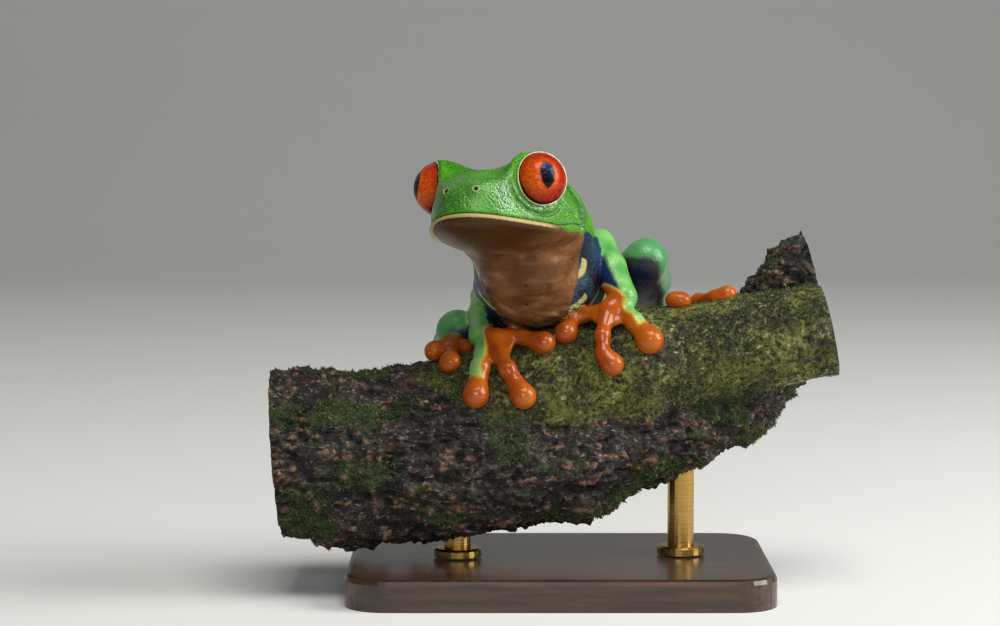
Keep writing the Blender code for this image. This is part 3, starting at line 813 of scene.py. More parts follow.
def colour_maps(mesh, points):
    """Where each colour of the skin lies, as distances in mm past its edge."""
    normals = vectors_of(mesh, "normal")
    head, trunk = to_head(points), to_trunk(points)
    parts = flesh_parts(points)
    nearest = np.array(list(parts))[np.argmin(np.stack(list(parts.values())), axis=0)]
    is_head, is_trunk = nearest == "head", nearest == "trunk"

    # Green over the head above the mouth, and over the back; cream on the throat, chest and belly.
    gap = head[:, 2] - mouth_height(head)
    corner = 1.1 * ease(-7.5, -2.5, head[:, 1])
    # Beside the jaw, before the arm, the green ends higher and the skin is blue.
    collar = ease(1.0, 3.0, trunk[:, 1]) * ease(9.5, 7.0, trunk[:, 1])
    green = np.where(is_head, gap + corner, np.where(is_trunk, trunk[:, 2] + 0.9 - 1.5 * collar, -2.0))
    # The pale edge of the lower lip is wider on the right of the chin.
    lip = np.where(gap < 0.0, gap * (1.0 - 0.62 * ease(-2.5, -7.0, head[:, 0])), gap)
    lip += (BODY_LIP - lip) * ease(-6.0, 0.0, head[:, 1]) * ease(1.5, 3.0, gap)
    below_arms = 2.0 * ease(2.6, 5.0, np.abs(trunk[:, 0])) * ease(4.5, 8.5, trunk[:, 1])
    belly = np.maximum(-7.4 - trunk[:, 2], chest_edge(trunk) / 1.5) - below_arms
    cream = np.where(is_head, -gap - corner + 0.5, np.where(is_trunk, belly, -2.0))

    orange = np.full(len(points), -3.0)
    for side, sign in (("left", 1.0), ("right", -1.0)):
        upper_arm, forearm, hand, thigh, shank, foot = (
            nearest == kind + "_" + side for limb in LIMBS for kind in limb)
        outward = normals @ unit(np.array((sign * 0.9, 0.0, 0.3)))
        outer = np.maximum(outward - (0.0 if side == "left" else 0.15), normals[:, 2] * 1.5 - 1.2) * 2.4
        joint, wrist = (np.array(ARMS[side]["forearm"][end][:3]) for end in (0, -1))
        elbow = length(points - joint)
        green = np.where(forearm, outer, green)
        green = np.where(upper_arm, np.minimum(outer, (4.2 - elbow) * 0.6), green)
        green = np.where(upper_arm | forearm, np.maximum(green, 2.6 - elbow), green)
        top = smooth_union(-(normals[:, 2] - 0.3), -(sign * normals[:, 0] - 0.66), 0.5)
        green = np.where(shank | thigh, -top * 2.5, green)
        past = (points - wrist) @ unit(wrist - joint)
        orange = np.where(forearm, past - 0.2 - (outward + 0.25) * 4.0, orange)
        # The outermost finger is green along its upper side, as far as the pad.
        finger = HANDS[side]["digits"][3]
        top = unit(np.array((sign * 0.8, -0.1, 0.6)))
        rim = length(points - finger[-1][:3])
        ridge = chain(points - top * 0.9, ((*wrist, 2.2), finger[0], finger[1], finger[-1]), 0.3)
        strip = np.minimum(-ridge + 0.15, (rim - finger[-1][3] - 0.9) * 0.7)
        green = np.where(hand, 1.0, green)
        orange = np.where(hand, np.minimum(2.0, -strip * 2.0), orange)
        # The foot is orange within and green along its outer edge near the heel.
        heel = length(points - LEGS[side]["shank"][-1][:3])
        outer = np.minimum(outward * 2.4 + 0.6, (13.0 - heel) * 0.4)
        green = np.where(foot, np.maximum(outer, (3.4 - heel) * 0.6), green)
        orange = np.where(foot, np.minimum(-outer * 1.6, (heel - 3.0) * 0.8), orange)
    # A blue strip runs from beside the nape down the fore side of the arm.
    shoulder = chain(points, SHOULDER_STRIP, 0.3)
    green = np.minimum(green, np.where(is_head, 9.0, shoulder * 1.4))
    bare = is_trunk * (1.0 - collar * ease(-2.4, -1.4, trunk[:, 2]))
    store(mesh, green=green, cream=cream, orange=orange, lip=np.where(is_head, lip, BODY_LIP),
          limb=share_of(parts, LIMBS[0] + LIMBS[1]), leg=share_of(parts, LIMBS[1]), forward=-head[:, 1],
          nostril=np.minimum(*(length(head - mirrored(NOSTRIL_PLACE, side)) for side in (1, -1))),
          flank=ease(0.4, 0.9, shoulder) * bare,
          barred=ease(31.0, 27.0, trunk[:, 1]) * ease(1.5, 2.2, shoulder) * bare, trunk_place=trunk * MM)


def skin_material():
    """Moist frog skin: a thin wet film over fine granules, so satin with small sharp glints."""
    made, tree, shader = blank("frog_skin_moist")
    coords = add(tree, COORDS, out="Object")
    fine = grain(tree, coords, 0.5, 3.0, 0.6)
    broad = grain(tree, coords, 4.5, 2.0, 0.5)
    wobble = add(tree, MATH, (grain(tree, coords, 1.4, 4.0, 0.6), 0.7, -0.35), operation="MULTIPLY_ADD")
    green, cream, orange, limb, leg, lip, ahead, nostril, flank, barred = (
        add(tree, KEPT, attribute_name=name, out="Fac") for name in
        ("green", "cream", "orange", "limb", "leg", "lip", "forward", "nostril", "flank", "barred"))
    green, cream, orange = (
        add(tree, MATH, (past, wobble), operation="ADD") for past in (green, cream, orange))

    # The limbs' inner sides are indigo; towards the green, arms turn blue and legs grey-violet.
    colour = lay(tree, "#211A2C", "#1A2044", green, -3.0, -1.8)
    colour = lay(tree, colour, lay(tree, "#162B4E", "#302E3A", leg, 0.3, 0.7), green, -1.9, -0.8)
    # The flank is dark teal with cream bars.
    colour = lay(tree, colour, lay(tree, "#142028", "#2F4F5E", broad, 0.35, 0.65), flank, 0.3, 0.7)
    bars = add(tree, "ShaderNodeTexWave", {
        "Vector": add(tree, KEPT, attribute_name="trunk_place", out="Vector"), "Scale": 85.0,
        "Distortion": 4.5, "Detail": 2.0, "Detail Scale": 1.6}, out="Fac", bands_direction="Y")
    bars = add(tree, MATH, (bars, barred), operation="MULTIPLY")
    colour = lay(tree, colour, "#B9AE6C", bars, 0.72, 0.88)

    # Throat, chest and belly: cream skin painted a shaded brown, paler in broad patches and with painted
    # shade darker ahead under the jaw, with a few dark specks.
    throat = lay(tree, "#59361C", "#7E5433", broad, 0.3, 0.7)
    throat = lay(tree, throat, "#A07C56", grain(tree, coords, 2.6, 2.0, 0.5, (1.5, 1, 0.6)), 0.5, 0.95)
    # Painted shade: the brown darkens ahead, into the shade under the jaw.
    throat = lay(tree, throat, "#402408", ahead, 1.0, 12.0)
    specks = add(tree, CELLS, {"Vector": coords, "Scale": 1.0 / (SPECK_GAP * MM)}, out="Distance")
    throat = lay(tree, "#2E170C", throat, specks, 0.06, 0.11)
    colour = lay(tree, colour, throat, cream, -0.15, 0.15)

    # Leaf green, cooler on the limbs, with paler granules.
    leaf = lay(tree, "#2A6E06", "#4A941A", broad, 0.3, 0.72)
    leaf = lay(tree, leaf, "#7CBA30", fine, 0.52, 0.85)
    cool = lay(tree, "#489644", "#8ABF6A", broad, 0.35, 0.75)
    cool = lay(tree, cool, "#458A54", leg, 0.4, 1.2)
    leaf = lay(tree, leaf, cool, limb, 0.3, 0.7)
    soft = add(tree, MATH, (limb, -0.45, -0.15), operation="MULTIPLY_ADD")
    edge = add(tree, RANGE, (green, soft, 0.25), interpolation_type="SMOOTHSTEP")
    colour = add(tree, MIX, {0: edge, 6: colour, 7: leaf}, out=2, data_type="RGBA")

    # A cream band along the lower lip, and painted shade along the shut line of the mouth.
    band = lay(tree, "#000000", "#FFFFFF", lip, -0.72, -0.5)
    band = lay(tree, band, "#000000", lip, -0.03, 0.05)
    band = lay(tree, "#000000", band, ahead, 5.5, 9.0)
    colour = add(tree, MIX, {0: band, 6: colour, 7: "#AA965E"}, out=2, data_type="RGBA")
    # Painted shade: a dark line in the crease of the shut mouth.
    shut = add(tree, MATH, (lip,), operation="ABSOLUTE")
    colour = lay(tree, "#1C2610", colour, shut, 0.02, 0.14)

    # Hands and feet: saturated orange, yellow where it meets the green.
    colour = lay(tree, colour, "#B4A843", orange, -0.9, -0.3)
    colour = lay(tree, colour, lay(tree, "#9A3C02", "#B05802", broad, 0.3, 0.7), orange, -0.5, 0.4)
    # The nostrils: pale rings round holes filled with painted shade.
    colour = lay(tree, "#98A458", colour, nostril, 0.42, 0.57)
    colour = lay(tree, "#2A200A", colour, nostril, 0.27, 0.36)

    # Round granules over faint broader unevenness, flatter on the throat and limbs and in the wet film.
    granules = add(tree, CELLS, {"Vector": coords, "Scale": 1.0 / (GRANULE * MM)}, out="Distance")
    height = add(tree, MATH, (fine, 0.25), operation="MULTIPLY")
    height = add(tree, MATH, (granules, -0.6, height), operation="MULTIPLY_ADD")
    bald = add(tree, RANGE, (cream, -0.2, 0.3, 0.0, 0.7))
    bald = add(tree, MATH, (bald, add(tree, MATH, (limb, 0.65), operation="MULTIPLY")), operation="MAXIMUM")
    rough = add(tree, MATH, (1.0, bald), operation="SUBTRACT")
    rise = add(tree, RANGE, (orange, -0.6, 0.3, 1.0, 0.55))
    rise = add(tree, MATH, (rise, rough), operation="MULTIPLY")
    under, film = (
        add(tree, BUMP, {"Strength": strength, "Distance": GRANULE * MM, "Height": height}, out="Normal")
        for strength in (rise, add(tree, MATH, (rise, 0.35), operation="MULTIPLY")))
    # The film thins out on bare skin, on the crown and round the nostrils; hands, feet and limbs shine.
    wet = add(tree, RANGE, (rough, 0.3, 1.0, 0.15, 1.0))
    for thins in (add(tree, RANGE, (lip, 4.0, 7.0, 1.0, 0.12)), add(tree, RANGE, (nostril, 0.3, 0.5))):
        wet = add(tree, MATH, (wet, thins), operation="MULTIPLY")
    sheen = add(tree, MATH, (limb, edge), operation="MULTIPLY")
    for shines in (add(tree, RANGE, (orange, 0.0, 1.0, 0.0, 0.32)),
                   add(tree, MATH, (sheen, 0.5), operation="MULTIPLY")):
        wet = add(tree, MATH, (wet, shines), operation="MAXIMUM")
    dry = add(tree, RANGE, (add(tree, MATH, (orange, cream), operation="MAXIMUM"), -0.3, 0.3, 0.32, 0.2))
    crown = add(tree, RANGE, (lip, 4.5, 7.5, 0.32, 0.08))
    feed(shader, {
        "Base Color": colour, "Normal": under, "IOR": 1.36,
        "Roughness": add(tree, RANGE, (orange, -0.4, 0.5, 0.42, 0.5)),
        "Specular IOR Level": add(tree, MATH, (dry, crown), operation="MINIMUM"),
        "Coat Weight": wet, "Coat Normal": film, "Coat IOR": 1.6,
        "Coat Roughness": add(tree, RANGE, (orange, -0.4, 0.5, 0.26, 0.05)),
        "Subsurface Weight": 0.12, "Subsurface Radius": (1.0, 0.45, 0.2), "Subsurface Scale": 0.8 * MM})
    return made


# ---------------------------------------------------------------- eyes

def eye_frame(side):
    """The eye's own axes as rows: to its right, up, and out along its axis, in the frog's frame."""
    out = eye_axis(side) @ HEAD_AXES
    right = unit(np.cross(np.array((0.0, 0.0, 1.0)), out))
    return np.stack((right, np.cross(out, right), out))


def bands(rows, around, first=0, closed=False):
    """Quads between rows of vertices that each run round, and from the last row to the first if closed."""
    for row in range(rows if closed else rows - 1):
        for step in range(around):
            a = row * around + step
            b = row * around + (step + 1) % around
            yield [first + corner % (rows * around) for corner in (a, a + around, b + around, b)]


def build_eye(side, name):
    """The eyeball, with its poles on its own axis."""
    rings, around = 72, 96
    local = [(0.0, 0.0, 1.0)]
    for ring in range(1, rings):
        polar = math.pi * ring / rings
        for step in range(around):
            angle = 2 * math.pi * step / around
            across = math.sin(polar)
            local.append((across * math.cos(angle), across * math.sin(angle), math.cos(polar)))
    local.append((0.0, 0.0, -1.0))
    local = np.array(local) * EYE_RADIUS
    last = len(local) - 1
    ends = [(step, (step + 1) % around) for step in range(around)]
    faces = [(0, 1 + a, 1 + b) for a, b in ends]
    faces += bands(rings - 1, around, 1)
    faces += [(last, last - around + b, last - around + a) for a, b in ends]
    made = mesh_object(name, from_head(mirrored(EYE_PLACE, side)) + local @ eye_frame(side), faces)
    ring = np.maximum(np.hypot(local[:, 0], local[:, 1]), 1e-6)
    gap = np.sqrt(EYE_RADIUS ** 2 - rim_rise(-side * local[:, 0] / ring) ** 2) - ring
    # margin: how far inside the lids' rim a point lies, for the dark limbus and the painted shade there.
    store(made.data, iris_place=local * (side, 1.0, 1.0) * MM,
          margin=gap / (0.1 + 0.14 * ease(0.3, -0.8, local[:, 1] / ring)))
    return made


def eye_material():
    """A wet cornea over a red iris: a clear sharp gloss over streaked colour."""
    made, tree, shader = blank("eye_wet_cornea")
    place = add(tree, KEPT, attribute_name="iris_place", out="Vector")
    place = add(tree, VECTORS, {0: place, "Scale": 1.0 / MM}, operation="SCALE")
    x, y, _ = add(tree, "ShaderNodeSeparateXYZ", (place,)).node.outputs
    flat = add(tree, VECTORS, (place, (1.0, 1.0, 0.0)), operation="MULTIPLY")
    ring = add(tree, VECTORS, (flat,), out="Value", operation="LENGTH")
    # Streaks run out from the pupil: noise on the direction alone, slowly changing outwards.
    ray = add(tree, VECTORS, (flat,), operation="NORMALIZE")
    ray = add(tree, VECTORS, {0: ray, "Scale": 9.0}, operation="SCALE")
    drift = add(tree, "ShaderNodeCombineXYZ", {2: ring})
    ray = add(tree, VECTORS, (ray, drift), operation="ADD")
    streaks, mottle, painted_reflection = (
        add(tree, NOISE, {"Vector": where, "Scale": scale, "Detail": detail, "Roughness": roughness})
        for where, scale, detail, roughness in (
            (ray, 1.3, 5.0, 0.65), (place, 2.2, 4.0, 0.6), (place, 4.5, 3.0, 0.6)))
    inner = lay(tree, "#B43204", "#DC6A0A", mottle, 0.35, 0.68)
    outer = lay(tree, "#780A02", "#A42002", streaks, 0.36, 0.6)
    # The orange is wider towards the snout.
    reach = add(tree, MATH, (streaks, 1.8, ring), operation="MULTIPLY_ADD")
    reach = add(tree, MATH, (x, 0.3, reach), operation="MULTIPLY_ADD")
    colour = lay(tree, inner, outer, reach, 2.0, 4.1)
    # Next to the lids' rim the iris darkens: partly a dark limbus and partly painted shade under the lids,
    # wider below.
    colour = lay(tree, "#240302", colour, add(tree, KEPT, attribute_name="margin", out="Fac"), 0.8, 1.5)
    # The pupil is an upright oval, drawn to a point below.
    low = add(tree, MATH, (y, -0.18, 0.4), operation="MULTIPLY_ADD")
    low = add(tree, MATH, (low, 0.0), operation="MAXIMUM")
    wide = add(tree, MATH, (x,), operation="ABSOLUTE")
    wide = add(tree, MATH, (low, 0.55, wide), operation="MULTIPLY_ADD")
    wide = add(tree, MATH, (wide, 1.0 / PUPIL_HALF_WIDTH), operation="MULTIPLY")
    tall = add(tree, MATH, (y, 1.0 / PUPIL_HALF_HEIGHT), operation="MULTIPLY")
    oval = add(tree, "ShaderNodeCombineXYZ", (wide, tall))
    pupil = add(tree, VECTORS, (oval,), out="Value", operation="LENGTH")
    colour = lay(tree, "#8E1E06", colour, pupil, 1.03, 1.14)
    # The pupil is near black with a painted reflection: blue-grey mottling, more in its upper part.
    painted_reflection = add(tree, MATH, (y, 0.09, painted_reflection), operation="MULTIPLY_ADD")
    colour = lay(tree, lay(tree, "#04050B", "#36446E", painted_reflection, 0.52, 0.72), colour, pupil, 0.98, 1.02)
    bump = add(tree, BUMP, {"Strength": 0.2, "Distance": 0.1 * MM, "Height": streaks}, out="Normal")
    feed(shader, {"Base Color": colour, "Normal": bump, "Roughness": 0.45, "IOR": 1.33,
                  "Specular IOR Level": 0.1, "Coat Weight": 0.45, "Coat Roughness": 0.03, "Coat IOR": 1.36})
    return made


def ring_tube(name, side, tube=0.1, around=144, sides=12):
    """The thin edge of the eyelids, which lies on the eyeball and rises a little at its front."""
    centre, axes = from_head(mirrored(EYE_PLACE, side)), eye_frame(side)
    verts = []
    for step in range(around):
        turn = 2 * math.pi * step / around
        out = math.cos(turn) * axes[0] + math.sin(turn) * axes[1]
        rise = rim_rise(-side * math.cos(turn))
        radius = math.sqrt((EYE_RADIUS + 0.03) ** 2 - rise * rise)
        for spoke in range(sides):
            angle = 2 * math.pi * spoke / sides
            reach = radius + tube * math.cos(angle)
            verts.append(centre + reach * out + (rise + tube * math.sin(angle)) * axes[2])
    return mesh_object(name, np.array(verts), bands(around, sides, closed=True))


def lid_material():
    """The bare edge of the eyelid: thin moist cream skin, satin."""
    made, tree, shader = blank("eyelid_edge")
    coords = add(tree, COORDS, out="Object")
    colour = lay(tree, "#B4AE7E", "#EDE7C8", grain(tree, coords, 0.9, 3.0, 0.6), 0.35, 0.7)
    feed(shader, {"Base Color": colour, "Roughness": 0.32, "IOR": 1.4})
    return made


# ---------------------------------------------------------------- branch

def branch(points):
    return smooth_union(chain(points, LOG_STATIONS, 2.0), chain(points, STEM_STATIONS, 2.0), 1.2)


def build_perch():
    """The branch, with bark raised in knobs and plates and split by long fissures."""
    perch, verts = drawn(branch, "branch_bark", (-40.0, -14.0, -46.0), (55.0, 26.0, 6.0), BARK_CELL)
    normals = vectors_of(perch.data, "normal")
    log, stem = (chain(verts, stations, 2.0) for stations in (LOG_STATIONS, STEM_STATIONS))
    rugged = ease(-0.8, 1.0, stem - log + 0.8 * layered(verts * 0.3, 5, 3))

    lengthwise = verts * np.array((0.08, 0.34, 0.34))
    fissures = -np.exp(-(layered(lengthwise, 11, 4, 0.6) / 0.05) ** 2)
    lumps = layered(verts * np.array((0.3, 0.5, 0.5)), 23, 4, 0.55)
    crumbs = layered(verts * 1.4, 31, 3, 0.6)
    knobs = np.zeros(len(verts))
    random = np.random.default_rng(7)
    for index in random.choice(len(verts), KNOB_COUNT):
        radius = random.uniform(0.25, 0.75)
        if rugged[index] > 0.6:
            near = length(verts - verts[index]) / radius + 0.35 * crumbs
            knobs = np.maximum(knobs, radius * 0.8 * np.exp(-np.maximum(near, 0.0) ** 3))
    move = rugged * (1.4 * lumps + 0.8 * fissures + 0.8 * crumbs) + knobs
    move += (1.0 - rugged) * (0.35 * layered(verts * 0.35, 41, 3) + 0.16 * crumbs)
    put_places(perch.data, verts + normals * move[:, None])

    damp = layered(verts * np.array((0.1, 0.22, 0.24)), 51, 3)
    fringe = ease(-0.2, -0.75, normals[:, 2]) * 0.35
    moss = np.where(rugged > 0.5, ease(0.05, 0.4, damp + fringe), ease(-0.5, 0.1, damp) * 0.8 + 0.2)
    moss *= ease(-0.95, -0.7, normals[:, 2]) * ease(0.5, 0.2, knobs)
    store(perch.data, rugged=rugged, knobs=knobs, relief=move, moss=moss)
    return perch


def tuft():
    """One moss shoot: three bent leaves of two faces each, 1 mm high."""
    verts, faces = [], []
    for leaf in range(3):
        turn = 2 * math.pi * leaf / 3
        out = np.array((math.cos(turn), math.sin(turn), 0.0))
        across = np.array((-out[1], out[0], 0.0)) * 0.16
        first = len(verts)
        for reach, height, width in ((0.0, -0.15, 1.0), (0.3, 0.45, 0.9)):
            middle = out * reach + np.array((0.0, 0.0, height))
            verts += [middle - across * width, middle + across * width]
        verts.append(out * 0.75 + np.array((0.0, 0.0, 0.8)))
        faces += [(first, first + 1, first + 3, first + 2), (first + 2, first + 3, first + 4)]
    return mesh_object("moss_tuft", np.array(verts) - JAW, faces)


def moss_tree(material):
    """Scatters tufts over a surface, thickest where it is mossy."""
    tree = bpy.data.node_groups.new("moss_scatter", "GeometryNodeTree")
    sockets = {}
    for name, kind in (("Surface", "Geometry"), ("Tuft", "Object"), ("Tufts per square metre", "Float"),
                       ("Smallest", "Float"), ("Largest", "Float"), ("Seed", "Int")):
        made = tree.interface.new_socket(name, in_out="INPUT", socket_type="NodeSocket" + kind)
        sockets[name] = made.identifier
    tree.interface.new_socket("Moss", in_out="OUTPUT", socket_type="NodeSocketGeometry")
    given = add(tree, "NodeGroupInput").node.outputs
    cover = add(tree, "GeometryNodeInputNamedAttribute", {"Name": "moss"}, data_type="FLOAT")
    density = add(tree, MATH, (cover, given["Tufts per square metre"]), operation="MULTIPLY")
    points = add(tree, "GeometryNodeDistributePointsOnFaces",
                 {"Mesh": given["Surface"], "Density": density, "Seed": given["Seed"]}).node.outputs
    size, spin, lean = (
        add(tree, "FunctionNodeRandomValue", {2: low, 3: high, "Seed": given["Seed"]}, out=1)
        for low, high in ((given["Smallest"], given["Largest"]), (-math.pi, math.pi), (-0.5, 0.5)))
    turned = add(tree, "ShaderNodeCombineXYZ", (lean, lean, spin))
    stood = add(tree, "FunctionNodeRotateRotation", (points["Rotation"], turned), rotation_space="LOCAL")
    shoot = add(tree, "GeometryNodeObjectInfo", {"Object": given["Tuft"]}, out="Geometry")
    spread = add(tree, "GeometryNodeInstanceOnPoints",
                 {"Points": points["Points"], "Instance": shoot, "Rotation": stood, "Scale": size})
    real = add(tree, "GeometryNodeRealizeInstances", {0: spread})
    painted = add(tree, "GeometryNodeSetMaterial", {"Geometry": real, "Material": material})
    add(tree, "NodeGroupOutput", {0: painted})
    return tree, sockets


def build_moss(perch, material):
    tree, sockets = moss_tree(material)
    shoot = tuft()
    carrier = placed("moss", perch.data.copy())
    scatter = carrier.modifiers.new("Scatter", "NODES")
    scatter.node_group = tree
    for name, value in (("Tuft", shoot), ("Tufts per square metre", 6.0e6), ("Smallest", 0.22),
                        ("Largest", 0.5), ("Seed", 3)):
        scatter[sockets[name]] = value
    graph = bpy.context.evaluated_depsgraph_get()
    mesh = bpy.data.meshes.new_from_object(carrier.evaluated_get(graph))
    carrier.modifiers.remove(scatter)
    carrier.data = mesh
    bpy.data.objects.remove(shoot)
    return carrier


def cuts():
    """Each sawn end: the way its face looks, and a point on it."""
    for place, facing, slope in BRANCH_ENDS:
        angle = math.radians(slope)
        yield np.array((math.cos(angle), 0.0, math.sin(angle))) * facing, np.array((place, *SAW_PIVOT))


def saw(mesh):
    """Cut both ends off square; the cut faces take the second material."""
    with edited(mesh) as bm:
        for normal, point in cuts():
            geometry = bm.verts[:] + bm.edges[:] + bm.faces[:]
            bmesh.ops.bisect_plane(bm, geom=geometry, plane_co=(point + JAW) * MM, plane_no=normal,
                                   clear_outer=True)
            rim = [edge for edge in bm.edges if edge.is_boundary]
            filled = bmesh.ops.holes_fill(bm, edges=rim, sides=0)["faces"]
            for face in bmesh.ops.triangulate(bm, faces=filled)["faces"]:
                face.material_index = 1
                face.smooth = False
                for edge in face.edges:
                    edge.smooth = all(other.material_index for other in edge.link_faces)
        drop_crumbs(bm)


def trim(mesh):
    """Drop the moss that lies past the sawn ends."""
    points = places_of(mesh)
    lost = np.zeros(len(points), dtype=bool)
    for normal, point in cuts():
        lost |= (points - point) @ normal > -0.3
    with edited(mesh) as bm:
        bm.verts.ensure_lookup_table()
        faces = {face for index in np.flatnonzero(lost) for face in bm.verts[index].link_faces}
        whole = set()
        while faces:
            whole |= faces
            faces = {other for face in faces for vert in face.verts for other in vert.link_faces} - whole
        bmesh.ops.delete(bm, geom=list(whole), context="FACES")


def bark_material():
    """Damp rotting bark with a film of algae: matt, with pale threads painted as a wet sheen and painted
    shade near black in its furrows.
    """
    made, tree, shader = blank("bark_damp")
    coords = add(tree, COORDS, out="Object")
    broad = grain(tree, coords, 6.0, 4.0, 0.6)
    grit = grain(tree, coords, 0.8, 5.0, 0.7)
    fibre = grain(tree, coords, 0.9, 4.0, 0.6, (6, 1, 1))
    relief, moss, knobs, rugged = (add(tree, KEPT, attribute_name=name, out="Fac")
                                   for name in ("relief", "moss", "knobs", "rugged"))
    moss = add(tree, MATH, (grit, 0.5, moss), operation="MULTIPLY_ADD")
    log = lay(tree, "#0B0907", "#2E241C", fibre, 0.4, 0.64)
    log = lay(tree, log, "#4A3424", broad, 0.55, 0.8)
    # Pale grey threads along the grain: a painted wet sheen of glints.
    log = lay(tree, log, "#7C8680", grain(tree, coords, 0.3, 3.0, 0.65, (3, 1, 1)), 0.56, 0.72)
    log = lay(tree, log, "#2E3A1C", grain(tree, coords, 3.0, 4.0, 0.7), 0.52, 0.66)
    chips = lay(tree, "#4A2E1E", "#96755C", grit, 0.42, 0.66)
    # The chips are ragged and lie along the grain.
    ragged = add(tree, NOISE, {"Vector": coords, "Scale": 1.0 / (0.9 * MM), "Detail": 3.0}, out="Color")
    ragged = add(tree, VECTORS, (ragged, (0.9 * MM,) * 3, coords), operation="MULTIPLY_ADD")
    ragged = add(tree, "ShaderNodeMapping", {"Vector": ragged, "Scale": (0.6, 1.0, 1.3)})
    for size, share in ((1.0, 0.88), (0.5, 0.87)):
        crumbs = add(tree, CELLS, {"Vector": ragged, "Scale": 1.0 / (size * MM)}, out="Color")
        log = lay(tree, log, chips, add(tree, "ShaderNodeSeparateXYZ", (crumbs,)), share, share + 0.06)
    log = lay(tree, log, chips, knobs, 0.25, 0.6)
    log = lay(tree, log, "#2C3814", moss, 0.55, 0.95)
    # Painted shade: the lower the relief lies, the darker, near black in the furrows.
    log = lay(tree, "#0C0806", log, relief, -1.1, 0.25)
    stem = lay(tree, "#2C2A10", "#74742C", broad, 0.38, 0.62)
    stem = lay(tree, "#16140A", stem, grit, 0.38, 0.52)
    stem = lay(tree, stem, "#B0AC78", grit, 0.55, 0.72)
    height = add(tree, MATH, (fibre, 0.7, grit), operation="MULTIPLY_ADD")
    feed(shader, {
        "Base Color": lay(tree, stem, log, rugged, 0.35, 0.65),
        "Normal": add(tree, BUMP, {"Strength": 0.9, "Distance": 0.5 * MM, "Height": height}, out="Normal"),
        "Roughness": add(tree, RANGE, (grit, 0.42, 0.58, 0.85, 0.36)), "Specular IOR Level": 0.4})
    return made


def moss_material():
    """Living moss: soft thin leaves, olive to yellow green."""
    made, tree, shader = blank("moss_leaves")
    coords = add(tree, COORDS, out="Object")
    colour = lay(tree, "#1C260D", "#56642A", grain(tree, coords, 2.4, 4.0, 0.65), 0.36, 0.66)
    colour = lay(tree, colour, "#959A60", grain(tree, coords, 0.5, 2.0, 0.5), 0.56, 0.74)
    feed(shader, {"Base Color": colour, "Roughness": 0.6})
    return made


def sawn_material():
    """End grain from a fine saw: pale dry wood with growth rings."""
    made, tree, shader = blank("wood_sawn_end")
    coords = add(tree, COORDS, out="Object")
    nearest = 1.0
    for pith in PITHS:
        away = add(tree, VECTORS, (coords, tuple(value * MM for value in pith)), operation="SUBTRACT")
        away = add(tree, VECTORS, (away, (0.3, 1.0, 1.0)), operation="MULTIPLY")
        away = add(tree, VECTORS, (away,), out="Value", operation="LENGTH")
        nearest = add(tree, MATH, (nearest, away), operation="MINIMUM")
    uneven = grain(tree, coords, 5.0, 3.0, 0.5)
    nearest = add(tree, MATH, (uneven, 1.4 * MM, nearest), operation="MULTIPLY_ADD")
    rings = add(tree, "ShaderNodeTexWave", {"Vector": add(tree, "ShaderNodeCombineXYZ", (nearest,)),
                                            "Scale": 260.0}, out="Fac", bands_direction="X")
    fine = grain(tree, coords, 0.4, 4.0, 0.7)
    colour = lay(tree, "#A98458", "#D2B283", rings, 0.0, 1.0)
    colour = lay(tree, colour, "#8E6B44", fine, 0.4, 0.8)
    bump = add(tree, BUMP, {"Strength": 0.4, "Distance": 0.15 * MM, "Height": fine}, out="Normal")
    feed(shader, {"Base Color": colour, "Normal": bump, "Roughness": 0.75})
    return made


# ---------------------------------------------------------------- stand

def wood_material():
    """Dark stained close-grained wood under satin varnish."""
    made, tree, shader = blank("stained_wood_varnished")
    coords = add(tree, COORDS, out="Object")
    colour = lay(tree, "#1F130B", "#4A2F1C", grain(tree, coords, 1.2, 6.0, 0.65, (12, 1, 1)), 0.3, 0.7)
    pores = grain(tree, coords, 0.35, 2.0, 0.6, (9, 1, 1))
    bump = add(tree, BUMP, {"Strength": 0.2, "Distance": 0.08 * MM, "Height": pores}, out="Normal")
    feed(shader, {"Base Color": colour, "Normal": bump, "Roughness": 0.38, "Coat Weight": 0.5,
                  "Coat Roughness": 0.22})
    return made


def brass_material():
    """Turned brass, lightly polished: fine marks round the rod."""
    made, tree, shader = blank("turned_brass")
    marks = grain(tree, add(tree, COORDS, out="Object"), 0.15, 2.0, 0.6, (60, 60, 1))
    feed(shader, {"Base Color": lay(tree, "#A07C3C", "#C9A45C", marks, 0.2, 0.8), "Metallic": 1.0,
                  "Roughness": add(tree, RANGE, (marks, 0.0, 1.0, 0.22, 0.34))})
    return made


# ---------------------------------------------------------------- scene

def light(name, place, aim, size, power, colour=(1.0, 1.0, 1.0)):
    lamp = bpy.data.lights.new(name, "AREA")
    lamp.shape = "RECTANGLE"
    lamp.size, lamp.size_y = size
    lamp.energy = power
    lamp.color = colour
    made = placed(name, lamp)
    made.location = place
    made.rotation_euler = (Vector(aim) - Vector(place)).to_track_quat("-Z", "Y").to_euler()


def build_stage():
    """A pale sheet that lies flat under the stand and sweeps up far behind it."""
    mesh = bpy.data.meshes.new("floor")
    bend, steps = 0.5, 16
    profile = [(-2.5, 0.0), (0.6, 0.0)]
    for step in range(1, steps + 1):
        angle = math.pi / 2 * step / steps
        profile.append((0.6 + bend * math.sin(angle), bend * (1.0 - math.cos(angle))))
    profile.append((0.6 + bend, 2.5))
    verts = [(x, y, z) for y, z in profile for x in (-3.0, 3.0)]
    faces = [(2 * i, 2 * i + 1, 2 * i + 3, 2 * i + 2) for i in range(len(profile) - 1)]
    mesh.from_pydata(verts, [], faces)
    mesh.shade_smooth()
    floor = placed("floor", mesh)
    made, _, shader = blank("studio_paper")
    feed(shader, {"Base Color": "#DCDCD8", "Roughness": 0.9})
    mesh.materials.append(made)


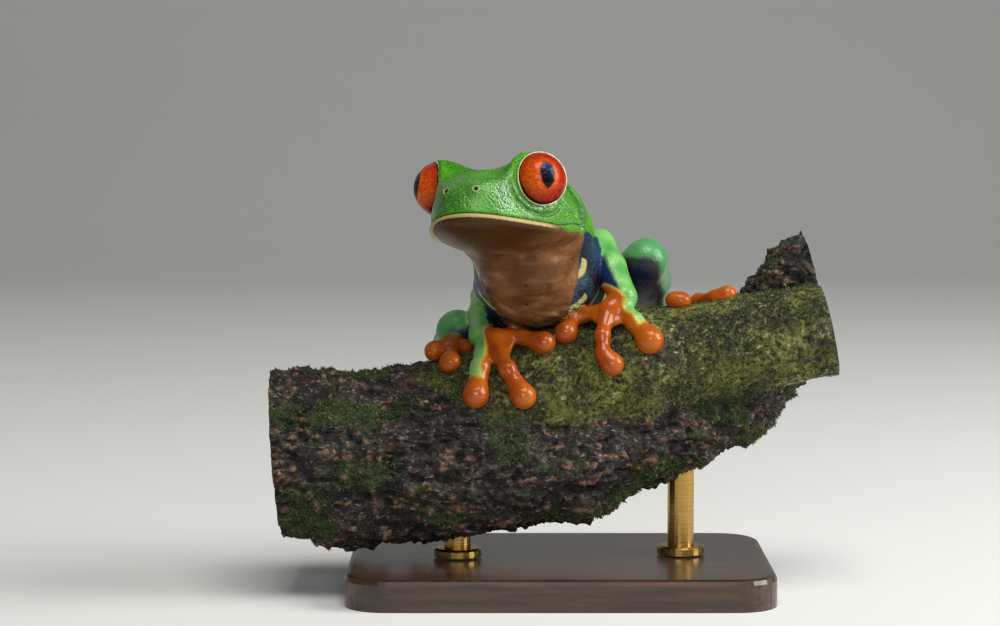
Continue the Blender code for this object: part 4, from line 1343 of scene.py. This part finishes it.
def build_camera():
    lens = bpy.data.cameras.new("camera")
    lens.lens = 100.0
    lens.sensor_width = 36.0
    lens.clip_start = 0.01
    camera = placed("camera", lens)
    camera.location = (-0.00844, -0.3943, 0.0739)
    camera.rotation_euler = (math.radians(85.0), 0.0, 0.0)
    bpy.context.scene.camera = camera


def build_lights():
    world = bpy.data.worlds.new("studio")
    bpy.context.scene.world = world
    world.use_nodes = True
    feed(world.node_tree.nodes["Background"], {"Color": (0.9, 0.95, 1.0, 1.0), "Strength": 0.14})
    light("key", (0.06, -0.24, 0.62), (0.0, 0.0, 0.04), (0.4, 0.3), 2.7, (1.0, 0.98, 0.95))
    light("side", (0.46, -0.1, 0.28), (0.0, 0.0, 0.05), (0.28, 0.36), 2.9)
    light("fill", (0.0, -0.8, 0.3), (0.0, 0.0, 0.04), (0.4, 0.25), 1.6, (0.94, 0.97, 1.0))
    light("rim", (-0.25, 0.5, 0.45), (0.0, 0.0, 0.05), (0.3, 0.3), 0.1)


def dress(node, material):
    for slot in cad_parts[node].material_slots:
        slot.link = "OBJECT"
        slot.material = material


def main():
    bpy.context.scene.view_settings.view_transform = "Standard"
    build_camera()
    build_stage()
    build_lights()

    skin = build_skin()
    skin.data.materials.append(skin_material())
    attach(skin, "root")
    flesh_nodes = ["head", "trunk"]
    for side in SIDES:
        flesh_nodes += [kind + "_" + side for limb in LIMBS for kind in limb]
    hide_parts(*flesh_nodes)

    cornea, edge = eye_material(), lid_material()
    for side, name in ((1, "left"), (-1, "right")):
        eye = build_eye(side, "eyeball_" + name)
        eye.data.materials.append(cornea)
        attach(eye, "root")
        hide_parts("eye_" + name)
        rim = ring_tube("lid_edge_" + name, side)
        rim.data.materials.append(edge)
        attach(rim, "root")

    perch = build_perch()
    moss = build_moss(perch, moss_material())
    perch.data.materials.append(bark_material())
    perch.data.materials.append(sawn_material())
    saw(perch.data)
    trim(moss.data)
    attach(moss, "root")
    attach(perch, "root")
    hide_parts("perch")

    dress("stand_base", wood_material())
    brass = brass_material()
    dress("stand_rod_1", brass)
    dress("stand_rod_2", brass)


main()
